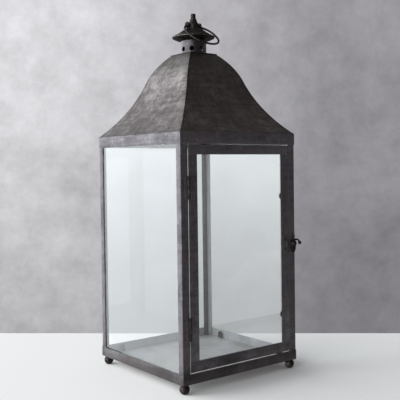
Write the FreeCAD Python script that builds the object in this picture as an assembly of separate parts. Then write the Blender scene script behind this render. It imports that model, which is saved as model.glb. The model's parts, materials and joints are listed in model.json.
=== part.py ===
import FreeCAD, Part
import math
import os

V = FreeCAD.Vector

# Body: width over the corner posts, height from the underside of the rails to the eaves
BODY_WIDTH = 254.0
BODY_HEIGHT = 407.0

# Sheet thicknesses
TRAY_SHEET = 1.0
RAIL_SHEET = 0.8
POST_SHEET = 1.2
DOOR_SHEET = 1.6
ROOF_SHEET = 1.0
CAP_SHEET = 1.1

# Clearances
FIT_CLEARANCE = 0.05
RUNNING_GAP = 0.1
MOVING_GAP = 0.3
HOLE_RUN_OUT = 0.5

# Ball feet and the screws that hold them under the tray
FOOT_DIAMETER = 17.0
FOOT_FLAT = 0.5
FOOT_INSET = 8.5
FOOT_SCREW_RADIUS = 2.0
FOOT_SCREW_LENGTH = 10.0
FOOT_SCREW_HEAD_RADIUS = 3.0
FOOT_SCREW_HEAD_HEIGHT = 1.6

# Frame strips and corner angles
RAIL_HEIGHT = 17.0
BAND_HEIGHT = 19.0
POST_FRONT_FLANGE = 14.5
POST_SIDE_FLANGE = 12.0
LATCH_POST_SIDE_FLANGE = 14.5
RAIL_RIVET_INSET = 8.3
RAIL_RIVET_RISE = 7.5
RAIL_RIVET_RADIUS = 1.2
RAIL_RIVET_HEAD_RADIUS = 2.1
RAIL_RIVET_HEAD_HEIGHT = 0.6

# Fixed panes and the round-topped tabs that stand on the tray behind them
GLASS = 2.0
PANE_CORNER_GAP = 4.8
PANE_TOP_GAP = 5.0
TAB_SHEET = 1.0
TAB_WIDTH = 13.0
TAB_HEIGHT = 13.5
TAB_OFFSET = 85.0

# Bell-shaped roof: the profile turns from hollow to full at the bend
ROOF_HEIGHT = 146.8
ROOF_TOP_HALF = 29.5
ROOF_BEND_HALF = 64.0
ROOF_BEND_HEIGHT = 96.0
ROOF_BEND_ANGLE = 70.0
ROOF_TRIM_ANGLE = 3.0
ROOF_PLATE = 1.2
ROOF_PLATE_LAP = 0.6
VENT_RADIUS = 19.0

# Vent collar
COLLAR_RADIUS = 23.2
COLLAR_WALL = 1.0
COLLAR_HEIGHT = 23.8
COLLAR_HOLE_RADIUS = 4.5
COLLAR_HOLE_RISE = 8.5
COLLAR_HOLES = 8

# Saucer-shaped smoke cap, its upper half slightly hollow
CAP_SEAT_LAP = 2.0
CAP_LOWER_HEIGHT = 5.8
CAP_RIM_RADIUS = 38.7
CAP_RIM_HEIGHT = 2.4
CAP_RIM_WIDTH = 1.4
CAP_UPPER_HEIGHT = 14.8
CAP_HOLLOW_RADIUS = 26.0
CAP_HOLLOW_RISE = 6.6
CAP_TOP_RADIUS = 15.0

# Finial with its screw and the two headed studs that carry the bail
FINIAL_RADIUS = 10.2
FINIAL_HEIGHT = 27.3
FINIAL_DRUM_MARGIN = 0.5
FINIAL_BELL_HEIGHT = 9.2
FINIAL_BELL_MID_RADIUS = 7.5
FINIAL_BELL_MID_RISE = 4.2
FINIAL_SHOULDER_RADIUS = 5.7
FINIAL_NECK_RADIUS = 4.5
FINIAL_NECK_RISE = 1.4
FINIAL_TOP_CHAMFER = 0.8
FINIAL_SCREW_RADIUS = 2.9
FINIAL_SCREW_LENGTH = 12.0
FINIAL_SCREW_HEAD_RADIUS = 5.0
FINIAL_SCREW_HEAD_HEIGHT = 3.5
STUD_RADIUS = 1.6
STUD_DEPTH = 5.0
STUD_HEAD_RADIUS = 2.5
STUD_HEAD_HEIGHT = 1.2

# Wire bail
WIRE_DIAMETER = 3.6
EYE_WIRE_DIAMETER = 3.9
EYE_RADIUS = 3.9
EYE_SIDE_GAP = 2.0
STUD_END_PLAY = 0.8
BAIL_HALF_WIDTH = 31.7
BAIL_LENGTH = 65.0
BAIL_SHOULDER_ANGLE = 15.0
RIM_STEPS = 12

# Door frame, glass and the round clips inside it
DOOR_GAP = 1.5
STILE_WIDTH = 17.5
DOOR_TOP_RAIL_HEIGHT = 16.0
DOOR_BOTTOM_RAIL_HEIGHT = 17.5
DOOR_GLASS_LAP = 6.0
CLIP_RADIUS = 6.0
CLIP_SHEET = 1.0
CLIP_SETBACK = 4.0
CLIP_EDGE_GAP = 0.5
CLIP_RISE = 86.0
CLIP_DROP = 110.0

# Butt hinges on the outside of the door and the post
HINGE_HEIGHT = 38.0
HINGE_LEAF = 9.0
HINGE_SHEET = 1.0
HINGE_KNUCKLES = 5
HINGE_KNUCKLE_RADIUS = 1.8
HINGE_STANDOFF = 0.2
HINGE_PIN_RADIUS = 0.9
HINGE_PIN_HEAD_RADIUS = 1.5
HINGE_PIN_HEAD_HEIGHT = 0.8
HINGE_RISE = 89.0
HINGE_DROP = 89.5
HINGE_RIVET_PITCH = 24.0
HINGE_RIVET_SETBACK = 5.2
HINGE_RIVET_RADIUS = 1.0
HINGE_RIVET_HEAD_RADIUS = 1.8
HINGE_RIVET_HEAD_HEIGHT = 0.6

# Turn latch on the post and its keeper on the door
LATCH_ABOVE_MIDDLE = 8.0
LATCH_SHEET = 1.2
LATCH_PLATE_WIDTH = 13.0
LATCH_PLATE_HEIGHT = 39.0
LATCH_SCREW_PITCH = 27.0
LATCH_SCREW_RADIUS = 1.2
LATCH_SCREW_HEAD_RADIUS = 2.2
LATCH_SCREW_HEAD_HEIGHT = 0.8
LATCH_STANDOFF = 1.6
LATCH_SHOULDER_RADIUS = 4.2
LATCH_PIN_RADIUS = 2.0
LATCH_KNOB_RADIUS = 4.2
LATCH_KNOB_HEIGHT = 3.6
LEVER_THICKNESS = 2.5
LEVER_DISC_RADIUS = 7.0
LEVER_TAIL_LENGTH = 16.5
LEVER_TAIL_ROOT = 4.8
LEVER_TAIL_BULGE = 4.0
LEVER_TAIL_HOLE = 1.8
LEVER_ARM_RADIUS = 1.6
LEVER_ARM_RISE = 7.4
LEVER_ARM_MID = 6.0
LEVER_BALL_RADIUS = 3.2
LEVER_BALL_REACH = 14.0
LEVER_BALL_RISE = 1.0
KEEPER_WIDTH = 12.0
KEEPER_HEIGHT = 33.0
KEEPER_SCREW_PITCH = 17.0
KEEPER_RIB_WIDTH = 3.0
KEEPER_RIB_LENGTH = 9.0
KEEPER_RIB_SETBACK = 0.8

# Levels and planes worked out from the sizes above
HALF = BODY_WIDTH / 2
SKIN_HALF = HALF + RAIL_SHEET
BASE_Z = FOOT_DIAMETER - 2 * FOOT_FLAT
TRAY_Z = BASE_Z + TRAY_SHEET
EAVE_Z = BASE_Z + BODY_HEIGHT
FOOT_PLACE = HALF - FOOT_INSET
POST_INNER = HALF - POST_SHEET
PANE_INNER = POST_INNER - GLASS
ROOF_Z = EAVE_Z + ROOF_HEIGHT
COLLAR_Z = ROOF_Z + ROOF_PLATE
CAP_Z = COLLAR_Z + COLLAR_HEIGHT
RIM_SEAM_Z = CAP_Z + CAP_LOWER_HEIGHT + CAP_RIM_HEIGHT / 2
RIM_TOP_Z = RIM_SEAM_Z + CAP_RIM_HEIGHT / 2
FINIAL_Z = RIM_TOP_Z + CAP_UPPER_HEIGHT
WIRE_RADIUS = WIRE_DIAMETER / 2
EYE_WIRE_RADIUS = EYE_WIRE_DIAMETER / 2
BAIL_Z = FINIAL_Z + EYE_RADIUS + EYE_WIRE_RADIUS + MOVING_GAP
EYE_X = FINIAL_RADIUS + EYE_SIDE_GAP + EYE_WIRE_RADIUS
DOOR_HALF = HALF - POST_FRONT_FLANGE - DOOR_GAP
DOOR_Z0 = BASE_Z + RAIL_HEIGHT + DOOR_GAP
DOOR_Z1 = EAVE_Z - BAND_HEIGHT - DOOR_GAP
OPENING_HALF = DOOR_HALF - STILE_WIDTH
OPENING_Z0 = DOOR_Z0 + DOOR_BOTTOM_RAIL_HEIGHT
OPENING_Z1 = DOOR_Z1 - DOOR_TOP_RAIL_HEIGHT
FACE_Y = -HALF
DOOR_INNER_Y = FACE_Y + DOOR_SHEET
POST_INNER_Y = FACE_Y + POST_SHEET
HINGE_LEVELS = {"lower": BASE_Z + HINGE_RISE, "upper": EAVE_Z - HINGE_DROP}
CLIP_LEVELS = (BASE_Z + CLIP_RISE, EAVE_Z - CLIP_DROP)
HINGE_X = -DOOR_HALF - DOOR_GAP / 2
HINGE_Y = FACE_Y - HINGE_KNUCKLE_RADIUS - HINGE_STANDOFF
LATCH_X = HALF - POST_FRONT_FLANGE / 2
LATCH_Z = (DOOR_Z0 + DOOR_Z1) / 2 + LATCH_ABOVE_MIDDLE
LATCH_PLATE_Y = FACE_Y - LATCH_SHEET
LEVER_BACK_Y = LATCH_PLATE_Y - LATCH_STANDOFF
LEVER_FRONT_Y = LEVER_BACK_Y - LEVER_THICKNESS
KEEPER_X = OPENING_HALF + STILE_WIDTH / 2

SIDES = ("front", "right", "back", "left")
CORNERS = {
    "front_left": (-1, -1),
    "front_right": (1, -1),
    "back_left": (-1, 1),
    "back_right": (1, 1),
}

pieces = {}


# Shared shapes
def block(x0, y0, z0, x1, y1, z1):
    return Part.makeBox(x1 - x0, y1 - y0, z1 - z0, V(x0, y0, z0))


def prism(points, direction):
    return Part.Face(Part.makePolygon(points + points[:1])).extrude(direction)


def arc(start, middle, end):
    return Part.Arc(start, middle, end).toShape()


def line(start, end):
    return Part.LineSegment(start, end).toShape()


def joined(points):
    return [line(start, end) for start, end in zip(points, points[1:])]


def turned(edges):
    return Part.Face(Part.Wire(edges)).revolve(V(0, 0, 0), V(0, 0, 1), 360)


def on_side(shape, side):
    """A copy of a front wall's shape, turned to one of the four sides."""
    copy = shape.copy()
    copy.rotate(V(0, 0, 0), V(0, 0, 1), SIDES.index(side) * 360 / len(SIDES))
    return copy


def hole_along_y(x, z, radius):
    """A cutter through the whole front wall at one place."""
    depth = RAIL_SHEET + max(POST_SHEET, DOOR_SHEET) + HINGE_SHEET + LATCH_SHEET
    return Part.makeCylinder(radius, 2 * depth, V(x, FACE_Y - depth, z), V(0, 1, 0))


def fastener(x, z, outer_y, inner_y, radius, head_radius, head_height):
    """A headed rivet or screw that enters the front wall along +Y."""
    shank = Part.makeCylinder(radius, inner_y - outer_y, V(x, outer_y, z), V(0, 1, 0))
    head = Part.makeCylinder(head_radius, head_height, V(x, outer_y - head_height, z), V(0, 1, 0))
    return shank.fuse(head).removeSplitter()


# Tray, feet and frame
def foot_places():
    return [V(sx * FOOT_PLACE, sy * FOOT_PLACE, 0) for sx, sy in CORNERS.values()]


def base_tray():
    tray = block(-HALF, -HALF, BASE_Z, HALF, HALF, TRAY_Z)
    for place in foot_places():
        hole = Part.makeCylinder(FOOT_SCREW_RADIUS + FIT_CLEARANCE, TRAY_SHEET, place + V(0, 0, BASE_Z))
        tray = tray.cut(hole)
    return tray


def foot(place):
    radius = FOOT_DIAMETER / 2
    ball = Part.makeSphere(radius, place + V(0, 0, radius - FOOT_FLAT))
    slab = Part.makeBox(FOOT_DIAMETER, FOOT_DIAMETER, BASE_Z, place - V(radius, radius, 0))
    depth = FOOT_SCREW_LENGTH - TRAY_SHEET + HOLE_RUN_OUT
    hole = Part.makeCylinder(FOOT_SCREW_RADIUS + FIT_CLEARANCE, depth, place + V(0, 0, BASE_Z - depth))
    return ball.common(slab).cut(hole)


def foot_screw(place):
    tip = place + V(0, 0, TRAY_Z - FOOT_SCREW_LENGTH)
    shank = Part.makeCylinder(FOOT_SCREW_RADIUS, FOOT_SCREW_LENGTH, tip)
    head = Part.makeCylinder(FOOT_SCREW_HEAD_RADIUS, FOOT_SCREW_HEAD_HEIGHT, place + V(0, 0, TRAY_Z))
    return shank.fuse(head).removeSplitter()


def mitred_strip(z0, z1):
    """The front strip of a square frame, with its ends mitred."""
    outline = [
        V(-SKIN_HALF, -SKIN_HALF, z0),
        V(SKIN_HALF, -SKIN_HALF, z0),
        V(HALF, -HALF, z0),
        V(-HALF, -HALF, z0),
    ]
    return prism(outline, V(0, 0, z1 - z0))


def rail_rivet_places():
    rise = BASE_Z + RAIL_RIVET_RISE
    return [(side * (HALF - RAIL_RIVET_INSET), rise) for side in (-1, 1)]


def bottom_rail():
    rail = mitred_strip(BASE_Z, BASE_Z + RAIL_HEIGHT)
    for x, z in rail_rivet_places():
        rail = rail.cut(hole_along_y(x, z, RAIL_RIVET_RADIUS + FIT_CLEARANCE))
    return rail


def rail_rivets():
    rivets = []
    for side in SIDES:
        for x, z in rail_rivet_places():
            rivet = fastener(
                x,
                z,
                -SKIN_HALF,
                POST_INNER_Y,
                RAIL_RIVET_RADIUS,
                RAIL_RIVET_HEAD_RADIUS,
                RAIL_RIVET_HEAD_HEIGHT,
            )
            rivets.append(on_side(rivet, side))
    return Part.makeCompound(rivets)


def corner_post(sx, sy):
    latch_post = sx > 0 > sy
    side_flange = LATCH_POST_SIDE_FLANGE if latch_post else POST_SIDE_FLANGE
    outline = [
        V(sx * HALF, sy * HALF, TRAY_Z),
        V(sx * (HALF - POST_FRONT_FLANGE), sy * HALF, TRAY_Z),
        V(sx * (HALF - POST_FRONT_FLANGE), sy * POST_INNER, TRAY_Z),
        V(sx * POST_INNER, sy * POST_INNER, TRAY_Z),
        V(sx * POST_INNER, sy * (HALF - side_flange), TRAY_Z),
        V(sx * HALF, sy * (HALF - side_flange), TRAY_Z),
    ]
    post = prism(outline, V(0, 0, EAVE_Z - TRAY_Z))
    for side in SIDES:
        for x, z in rail_rivet_places():
            hole = hole_along_y(x, z, RAIL_RIVET_RADIUS + FIT_CLEARANCE)
            post = post.cut(on_side(hole, side))
    return post


# Fixed panes
def pane():
    """The pane of the front wall's kind, to be turned to its own side."""
    half = POST_INNER - PANE_CORNER_GAP
    return block(-half, -POST_INNER, TRAY_Z, half, -PANE_INNER, EAVE_Z - PANE_TOP_GAP)


def pane_tab(x):
    half = TAB_WIDTH / 2
    y = -PANE_INNER
    shoulder = TRAY_Z + TAB_HEIGHT - half
    edges = [
        line(V(x - half, y, TRAY_Z), V(x + half, y, TRAY_Z)),
        line(V(x + half, y, TRAY_Z), V(x + half, y, shoulder)),
        arc(V(x + half, y, shoulder), V(x, y, shoulder + half), V(x - half, y, shoulder)),
        line(V(x - half, y, shoulder), V(x - half, y, TRAY_Z)),
    ]
    return Part.Face(Part.Wire(edges)).extrude(V(0, TAB_SHEET, 0))


def pane_tabs():
    tabs = []
    for side in ("right", "back", "left"):
        for x in (-TAB_OFFSET, TAB_OFFSET):
            tabs.append(on_side(pane_tab(x), side))
    return Part.makeCompound(tabs)


# Roof
def roof_profile():
    """The front panel's section in the plane x = 0: two tangent arcs and their offsets."""
    bend = math.radians(ROOF_BEND_ANGLE)
    inflection = V(0, -ROOF_BEND_HALF, EAVE_Z + ROOF_BEND_HEIGHT)
    eave = V(0, -SKIN_HALF, EAVE_Z)
    top = V(0, -ROOF_TOP_HALF, ROOF_Z)

    def outward(angle):
        return V(0, -math.sin(angle), math.cos(angle))

    to_eave = eave - inflection
    lower_radius = to_eave.dot(to_eave) / (2 * to_eave.dot(outward(bend)))
    lower_centre = inflection + outward(bend) * lower_radius
    to_top = top - inflection
    upper_radius = -to_top.dot(to_top) / (2 * to_top.dot(outward(bend)))
    upper_centre = inflection - outward(bend) * upper_radius

    eave_normal = lower_centre - eave
    top_normal = top - upper_centre
    trim = math.radians(ROOF_TRIM_ANGLE)
    eave_angle = math.atan2(-eave_normal.y, eave_normal.z) - trim
    top_angle = math.atan2(-top_normal.y, top_normal.z) - trim

    def lower(angle, depth):
        return lower_centre - outward(angle) * (lower_radius + depth)

    def upper(angle, depth):
        return upper_centre + outward(angle) * (upper_radius - depth)

    def lower_arc(depth):
        middle = (eave_angle + bend) / 2
        return arc(lower(eave_angle, depth), lower(middle, depth), lower(bend, depth))

    def upper_arc(depth):
        middle = (top_angle + bend) / 2
        return arc(upper(bend, depth), upper(middle, depth), upper(top_angle, depth))

    edges = [
        lower_arc(0),
        upper_arc(0),
        line(upper(top_angle, 0), upper(top_angle, ROOF_SHEET)),
        upper_arc(ROOF_SHEET),
        lower_arc(ROOF_SHEET),
        line(lower(eave_angle, ROOF_SHEET), lower(eave_angle, 0)),
    ]
    return Part.Face(Part.Wire(Part.__sortEdges__(edges)))


def roof_panel():
    reach = 2 * SKIN_HALF
    profile = roof_profile()
    profile.translate(V(-reach, 0, 0))
    sheet = profile.extrude(V(2 * reach, 0, 0))
    outline = [V(0, 0, EAVE_Z), V(-reach, -reach, EAVE_Z), V(reach, -reach, EAVE_Z)]
    return sheet.common(prism(outline, V(0, 0, ROOF_HEIGHT)))


def roof_plate():
    half = ROOF_TOP_HALF + ROOF_PLATE_LAP
    plate = block(-half, -half, ROOF_Z, half, half, COLLAR_Z)
    return plate.cut(Part.makeCylinder(VENT_RADIUS, ROOF_PLATE, V(0, 0, ROOF_Z)))


# Chimney: collar, smoke cap and finial
def vent_collar():
    outside = Part.makeCylinder(COLLAR_RADIUS, COLLAR_HEIGHT, V(0, 0, COLLAR_Z))
    inside = Part.makeCylinder(COLLAR_RADIUS - COLLAR_WALL, COLLAR_HEIGHT, V(0, 0, COLLAR_Z))
    collar = outside.cut(inside)
    for index in range(COLLAR_HOLES):
        angle = 2 * math.pi * index / COLLAR_HOLES
        direction = V(math.cos(angle), math.sin(angle), 0)
        start = V(0, 0, COLLAR_Z + COLLAR_HOLE_RISE)
        collar = collar.cut(Part.makeCylinder(COLLAR_HOLE_RADIUS, 2 * COLLAR_RADIUS, start, direction))
    return collar


def smoke_cap_lower():
    rim_inner = CAP_RIM_RADIUS - CAP_RIM_WIDTH
    bore = COLLAR_RADIUS - COLLAR_WALL
    seat = V(bore - CAP_SEAT_LAP, 0, CAP_Z)
    points = [
        seat,
        V(COLLAR_RADIUS, 0, CAP_Z),
        V(CAP_RIM_RADIUS, 0, CAP_Z + CAP_LOWER_HEIGHT),
        V(CAP_RIM_RADIUS, 0, RIM_SEAM_Z),
        V(rim_inner, 0, RIM_SEAM_Z),
        V(bore, 0, CAP_Z + CAP_SHEET),
        seat + V(0, 0, CAP_SHEET),
        seat,
    ]
    return turned(joined(points))


def smoke_cap_upper():
    hole = FINIAL_SCREW_RADIUS + FIT_CLEARANCE
    sheet = V(0, 0, CAP_SHEET)
    rim_top = V(CAP_RIM_RADIUS, 0, RIM_TOP_Z)
    rim_inner = V(CAP_RIM_RADIUS - CAP_RIM_WIDTH, 0, RIM_SEAM_Z)
    hollow = V(CAP_HOLLOW_RADIUS, 0, RIM_TOP_Z + CAP_HOLLOW_RISE)
    top = V(CAP_TOP_RADIUS, 0, FINIAL_Z)
    edges = [arc(rim_top, hollow, top)]
    edges += joined([top, V(hole, 0, FINIAL_Z), V(hole, 0, FINIAL_Z) - sheet, top - sheet])
    edges.append(arc(top - sheet, hollow - sheet, rim_inner))
    edges += joined([rim_inner, V(CAP_RIM_RADIUS, 0, RIM_SEAM_Z), rim_top])
    return turned(edges)


def finial():
    """A drum that holds the studs, a hollow bell above it and a plain stub on top."""
    drum_z = BAIL_Z + STUD_RADIUS + FINIAL_DRUM_MARGIN
    shoulder_z = drum_z + FINIAL_BELL_HEIGHT
    top_z = FINIAL_Z + FINIAL_HEIGHT
    drum = V(FINIAL_RADIUS, 0, drum_z)
    bell = V(FINIAL_BELL_MID_RADIUS, 0, drum_z + FINIAL_BELL_MID_RISE)
    shoulder = V(FINIAL_SHOULDER_RADIUS, 0, shoulder_z)
    edges = [arc(drum, bell, shoulder)]
    edges += joined(
        [
            shoulder,
            V(FINIAL_NECK_RADIUS, 0, shoulder_z + FINIAL_NECK_RISE),
            V(FINIAL_NECK_RADIUS, 0, top_z - FINIAL_TOP_CHAMFER),
            V(FINIAL_NECK_RADIUS - FINIAL_TOP_CHAMFER, 0, top_z),
            V(0, 0, top_z),
            V(0, 0, FINIAL_Z),
            V(FINIAL_RADIUS, 0, FINIAL_Z),
            drum,
        ]
    )
    body = turned(edges)
    depth = FINIAL_SCREW_LENGTH - CAP_SHEET + HOLE_RUN_OUT
    body = body.cut(Part.makeCylinder(FINIAL_SCREW_RADIUS + FIT_CLEARANCE, depth, V(0, 0, FINIAL_Z)))
    for side in (-1, 1):
        start = V(side * (FINIAL_RADIUS - STUD_DEPTH), 0, BAIL_Z)
        hole = Part.makeCylinder(STUD_RADIUS + FIT_CLEARANCE, 2 * STUD_DEPTH, start, V(side, 0, 0))
        body = body.cut(hole)
    return body


def finial_screw():
    under = FINIAL_Z - CAP_SHEET
    shank = Part.makeCylinder(FINIAL_SCREW_RADIUS, FINIAL_SCREW_LENGTH, V(0, 0, under))
    head_base = V(0, 0, under - FINIAL_SCREW_HEAD_HEIGHT)
    head = Part.makeCylinder(FINIAL_SCREW_HEAD_RADIUS, FINIAL_SCREW_HEAD_HEIGHT, head_base)
    return shank.fuse(head).removeSplitter()


def bail_studs():
    head_x = EYE_X + EYE_WIRE_RADIUS + STUD_END_PLAY
    studs = []
    for side in (-1, 1):
        direction = V(side, 0, 0)
        inner = FINIAL_RADIUS - STUD_DEPTH
        shank = Part.makeCylinder(STUD_RADIUS, head_x - inner, V(side * inner, 0, BAIL_Z), direction)
        head = Part.makeCylinder(STUD_HEAD_RADIUS, STUD_HEAD_HEIGHT, V(side * head_x, 0, BAIL_Z), direction)
        studs.append(shank.fuse(head).removeSplitter())
    return Part.makeCompound(studs)


# Bail, modelled where it lies on the rim of the cap, towards the door
def bail_droop():
    """The angle below level at which the legs lie just clear of the round rim of the cap."""
    reach = WIRE_RADIUS + MOVING_GAP
    drop = BAIL_Z - RIM_TOP_Z
    angles = []
    for step in range(RIM_STEPS):
        inset = reach * step / RIM_STEPS
        across = math.sqrt(CAP_RIM_RADIUS**2 - (BAIL_HALF_WIDTH - inset) ** 2)
        clear = math.sqrt(reach**2 - inset**2)
        angles.append(math.atan2(drop, across) - math.asin(clear / math.hypot(across, drop)))
    return min(angles)


def bail_handle():
    droop = bail_droop()
    heading = math.radians(BAIL_SHOULDER_ANGLE)
    bend = (BAIL_HALF_WIDTH - EYE_X) / (1 - math.sin(heading))
    shoulder_end = EYE_RADIUS + bend * math.cos(heading)
    round_start = BAIL_LENGTH - BAIL_HALF_WIDTH

    def place(x, reach):
        return V(x, -reach * math.cos(droop), BAIL_Z - reach * math.sin(droop))

    def shoulder(angle, side):
        x = EYE_X + bend * (math.sin(angle) - math.sin(heading))
        return place(side * x, EYE_RADIUS + bend * (math.cos(heading) - math.cos(angle)))

    square = math.pi / 2
    middle = (heading + square) / 2
    left = [
        arc(shoulder(heading, -1), shoulder(middle, -1), shoulder(square, -1)),
        line(shoulder(square, -1), place(-BAIL_HALF_WIDTH, round_start)),
    ]
    end = arc(
        place(-BAIL_HALF_WIDTH, round_start),
        place(0, BAIL_LENGTH),
        place(BAIL_HALF_WIDTH, round_start),
    )
    right = [
        line(place(BAIL_HALF_WIDTH, round_start), place(BAIL_HALF_WIDTH, shoulder_end)),
        arc(shoulder(square, 1), shoulder(middle, 1), shoulder(heading, 1)),
    ]
    path = Part.Wire(left + [end] + right)
    first = left[0]
    start = shoulder(heading, -1)
    section = Part.Wire(Part.makeCircle(WIRE_RADIUS, start, first.tangentAt(first.FirstParameter)))
    handle = path.makePipeShell([section], True, True)
    for side in (-1, 1):
        eye = Part.makeTorus(EYE_RADIUS, EYE_WIRE_RADIUS, V(side * EYE_X, 0, BAIL_Z), V(1, 0, 0))
        handle = handle.fuse(eye)
    return handle


# Door
def hinge_rivet_places(direction):
    """Rivet places on one side of the hinge line: -1 on the post, +1 on the door."""
    x = HINGE_X + direction * HINGE_RIVET_SETBACK
    places = []
    for level in HINGE_LEVELS.values():
        for end in (-1, 1):
            places.append((x, level + end * HINGE_RIVET_PITCH / 2))
    return places


def keeper_screw_places():
    return [(KEEPER_X, LATCH_Z + end * KEEPER_SCREW_PITCH / 2) for end in (-1, 1)]


def latch_screw_places():
    return [(LATCH_X, LATCH_Z + end * LATCH_SCREW_PITCH / 2) for end in (-1, 1)]


def drilled(shape, places, radius):
    for x, z in places:
        shape = shape.cut(hole_along_y(x, z, radius + FIT_CLEARANCE))
    return shape


def door_stile(side):
    inner, outer = sorted((side * OPENING_HALF, side * DOOR_HALF))
    return block(inner, FACE_Y, OPENING_Z0, outer, DOOR_INNER_Y, OPENING_Z1)


def door_rail(z0, z1):
    return block(-DOOR_HALF, FACE_Y, z0, DOOR_HALF, DOOR_INNER_Y, z1)


def door_glass():
    half = OPENING_HALF + DOOR_GLASS_LAP
    z0 = OPENING_Z0 - DOOR_GLASS_LAP
    z1 = OPENING_Z1 + DOOR_GLASS_LAP
    return block(-half, DOOR_INNER_Y, z0, half, DOOR_INNER_Y + GLASS, z1)


def door_clip(side, z):
    """A round clip over the edge of the glass, with a foot on the stile beside it."""
    centre = OPENING_HALF + CLIP_SETBACK
    glass_y = DOOR_INNER_Y + GLASS
    disc = Part.makeCylinder(CLIP_RADIUS, CLIP_SHEET, V(centre, glass_y, z), V(0, 1, 0))
    column = Part.makeCylinder(CLIP_RADIUS, GLASS + CLIP_SHEET, V(centre, DOOR_INNER_Y, z), V(0, 1, 0))
    edge = OPENING_HALF + DOOR_GLASS_LAP + CLIP_EDGE_GAP
    room = block(edge, FACE_Y, z - CLIP_RADIUS, edge + 2 * CLIP_RADIUS, 0, z + CLIP_RADIUS)
    clip = disc.fuse(column.common(room)).removeSplitter()
    return clip if side > 0 else clip.mirror(V(0, 0, 0), V(1, 0, 0))


def door_clips():
    return Part.makeCompound([door_clip(side, level) for side in (-1, 1) for level in CLIP_LEVELS])


# Hinges
def hinge_leaf(level, direction, knuckles):
    """One leaf: a plate to one side of the pin, with every other knuckle."""
    z0 = level - HINGE_HEIGHT / 2
    pitch = HINGE_HEIGHT / HINGE_KNUCKLES
    clear = HINGE_KNUCKLE_RADIUS + MOVING_GAP
    plate_y = FACE_Y - HINGE_SHEET
    near, far = sorted((HINGE_X + direction * clear, HINGE_X + direction * HINGE_LEAF))
    leaf = block(near, plate_y, z0, far, FACE_Y, z0 + HINGE_HEIGHT)
    axis = V(HINGE_X, HINGE_Y, 0)
    for index in knuckles:
        low = z0 + index * pitch + MOVING_GAP / 2
        height = pitch - MOVING_GAP
        web_near, web_far = sorted((HINGE_X, HINGE_X + direction * clear))
        leaf = leaf.fuse(block(web_near, plate_y, low, web_far, FACE_Y, low + height))
        leaf = leaf.fuse(Part.makeCylinder(HINGE_KNUCKLE_RADIUS, height, axis + V(0, 0, low)))
    bore = Part.makeCylinder(HINGE_PIN_RADIUS + FIT_CLEARANCE, HINGE_HEIGHT, axis + V(0, 0, z0))
    leaf = leaf.cut(bore).removeSplitter()
    return drilled(leaf, hinge_rivet_places(direction), HINGE_RIVET_RADIUS)


def hinge_pin(level):
    base = V(HINGE_X, HINGE_Y, level - HINGE_HEIGHT / 2)
    pin = Part.makeCylinder(HINGE_PIN_RADIUS, HINGE_HEIGHT, base)
    head_place = base + V(0, 0, HINGE_HEIGHT - MOVING_GAP / 2)
    head = Part.makeCylinder(HINGE_PIN_HEAD_RADIUS, HINGE_PIN_HEAD_HEIGHT, head_place)
    return pin.fuse(head).removeSplitter()


def hinge_rivets(direction, inner_y):
    rivets = []
    for x, z in hinge_rivet_places(direction):
        rivets.append(
            fastener(
                x,
                z,
                FACE_Y - HINGE_SHEET,
                inner_y,
                HINGE_RIVET_RADIUS,
                HINGE_RIVET_HEAD_RADIUS,
                HINGE_RIVET_HEAD_HEIGHT,
            )
        )
    return Part.makeCompound(rivets)


# Latch
def latch_plate():
    end = LATCH_PLATE_WIDTH / 2
    rise = LATCH_PLATE_HEIGHT / 2 - end
    plate = block(LATCH_X - end, LATCH_PLATE_Y, LATCH_Z - rise, LATCH_X + end, FACE_Y, LATCH_Z + rise)
    for z in (LATCH_Z - rise, LATCH_Z + rise):
        plate = plate.fuse(Part.makeCylinder(end, LATCH_SHEET, V(LATCH_X, LATCH_PLATE_Y, z), V(0, 1, 0)))
    plate = drilled(plate.removeSplitter(), latch_screw_places(), LATCH_SCREW_RADIUS)
    return drilled(plate, [(LATCH_X, LATCH_Z)], LATCH_PIN_RADIUS)


def latch_screws(places, inner_y):
    screws = []
    for x, z in places:
        screws.append(
            fastener(
                x,
                z,
                FACE_Y - LATCH_SHEET,
                inner_y,
                LATCH_SCREW_RADIUS,
                LATCH_SCREW_HEAD_RADIUS,
                LATCH_SCREW_HEAD_HEIGHT,
            )
        )
    return Part.makeCompound(screws)


def latch_pivot():
    """Riveted through the plate, with a shoulder behind the lever and a domed knob before it."""
    knob_y = LEVER_FRONT_Y - RUNNING_GAP
    centre = V(LATCH_X, POST_INNER_Y, LATCH_Z)
    outward = V(0, -1, 0)
    pivot = Part.makeCylinder(LATCH_PIN_RADIUS, POST_INNER_Y - knob_y, centre, outward)
    shoulder_height = LATCH_STANDOFF - RUNNING_GAP
    shoulder_place = V(LATCH_X, LATCH_PLATE_Y, LATCH_Z)
    pivot = pivot.fuse(Part.makeCylinder(LATCH_SHOULDER_RADIUS, shoulder_height, shoulder_place, outward))
    dome_radius = (LATCH_KNOB_RADIUS**2 + LATCH_KNOB_HEIGHT**2) / (2 * LATCH_KNOB_HEIGHT)
    dome = Part.makeSphere(dome_radius, V(LATCH_X, knob_y - LATCH_KNOB_HEIGHT + dome_radius, LATCH_Z))
    room = Part.makeCylinder(LATCH_KNOB_RADIUS, LATCH_KNOB_HEIGHT, V(LATCH_X, knob_y, LATCH_Z), outward)
    return pivot.fuse(dome.common(room)).removeSplitter()


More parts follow.
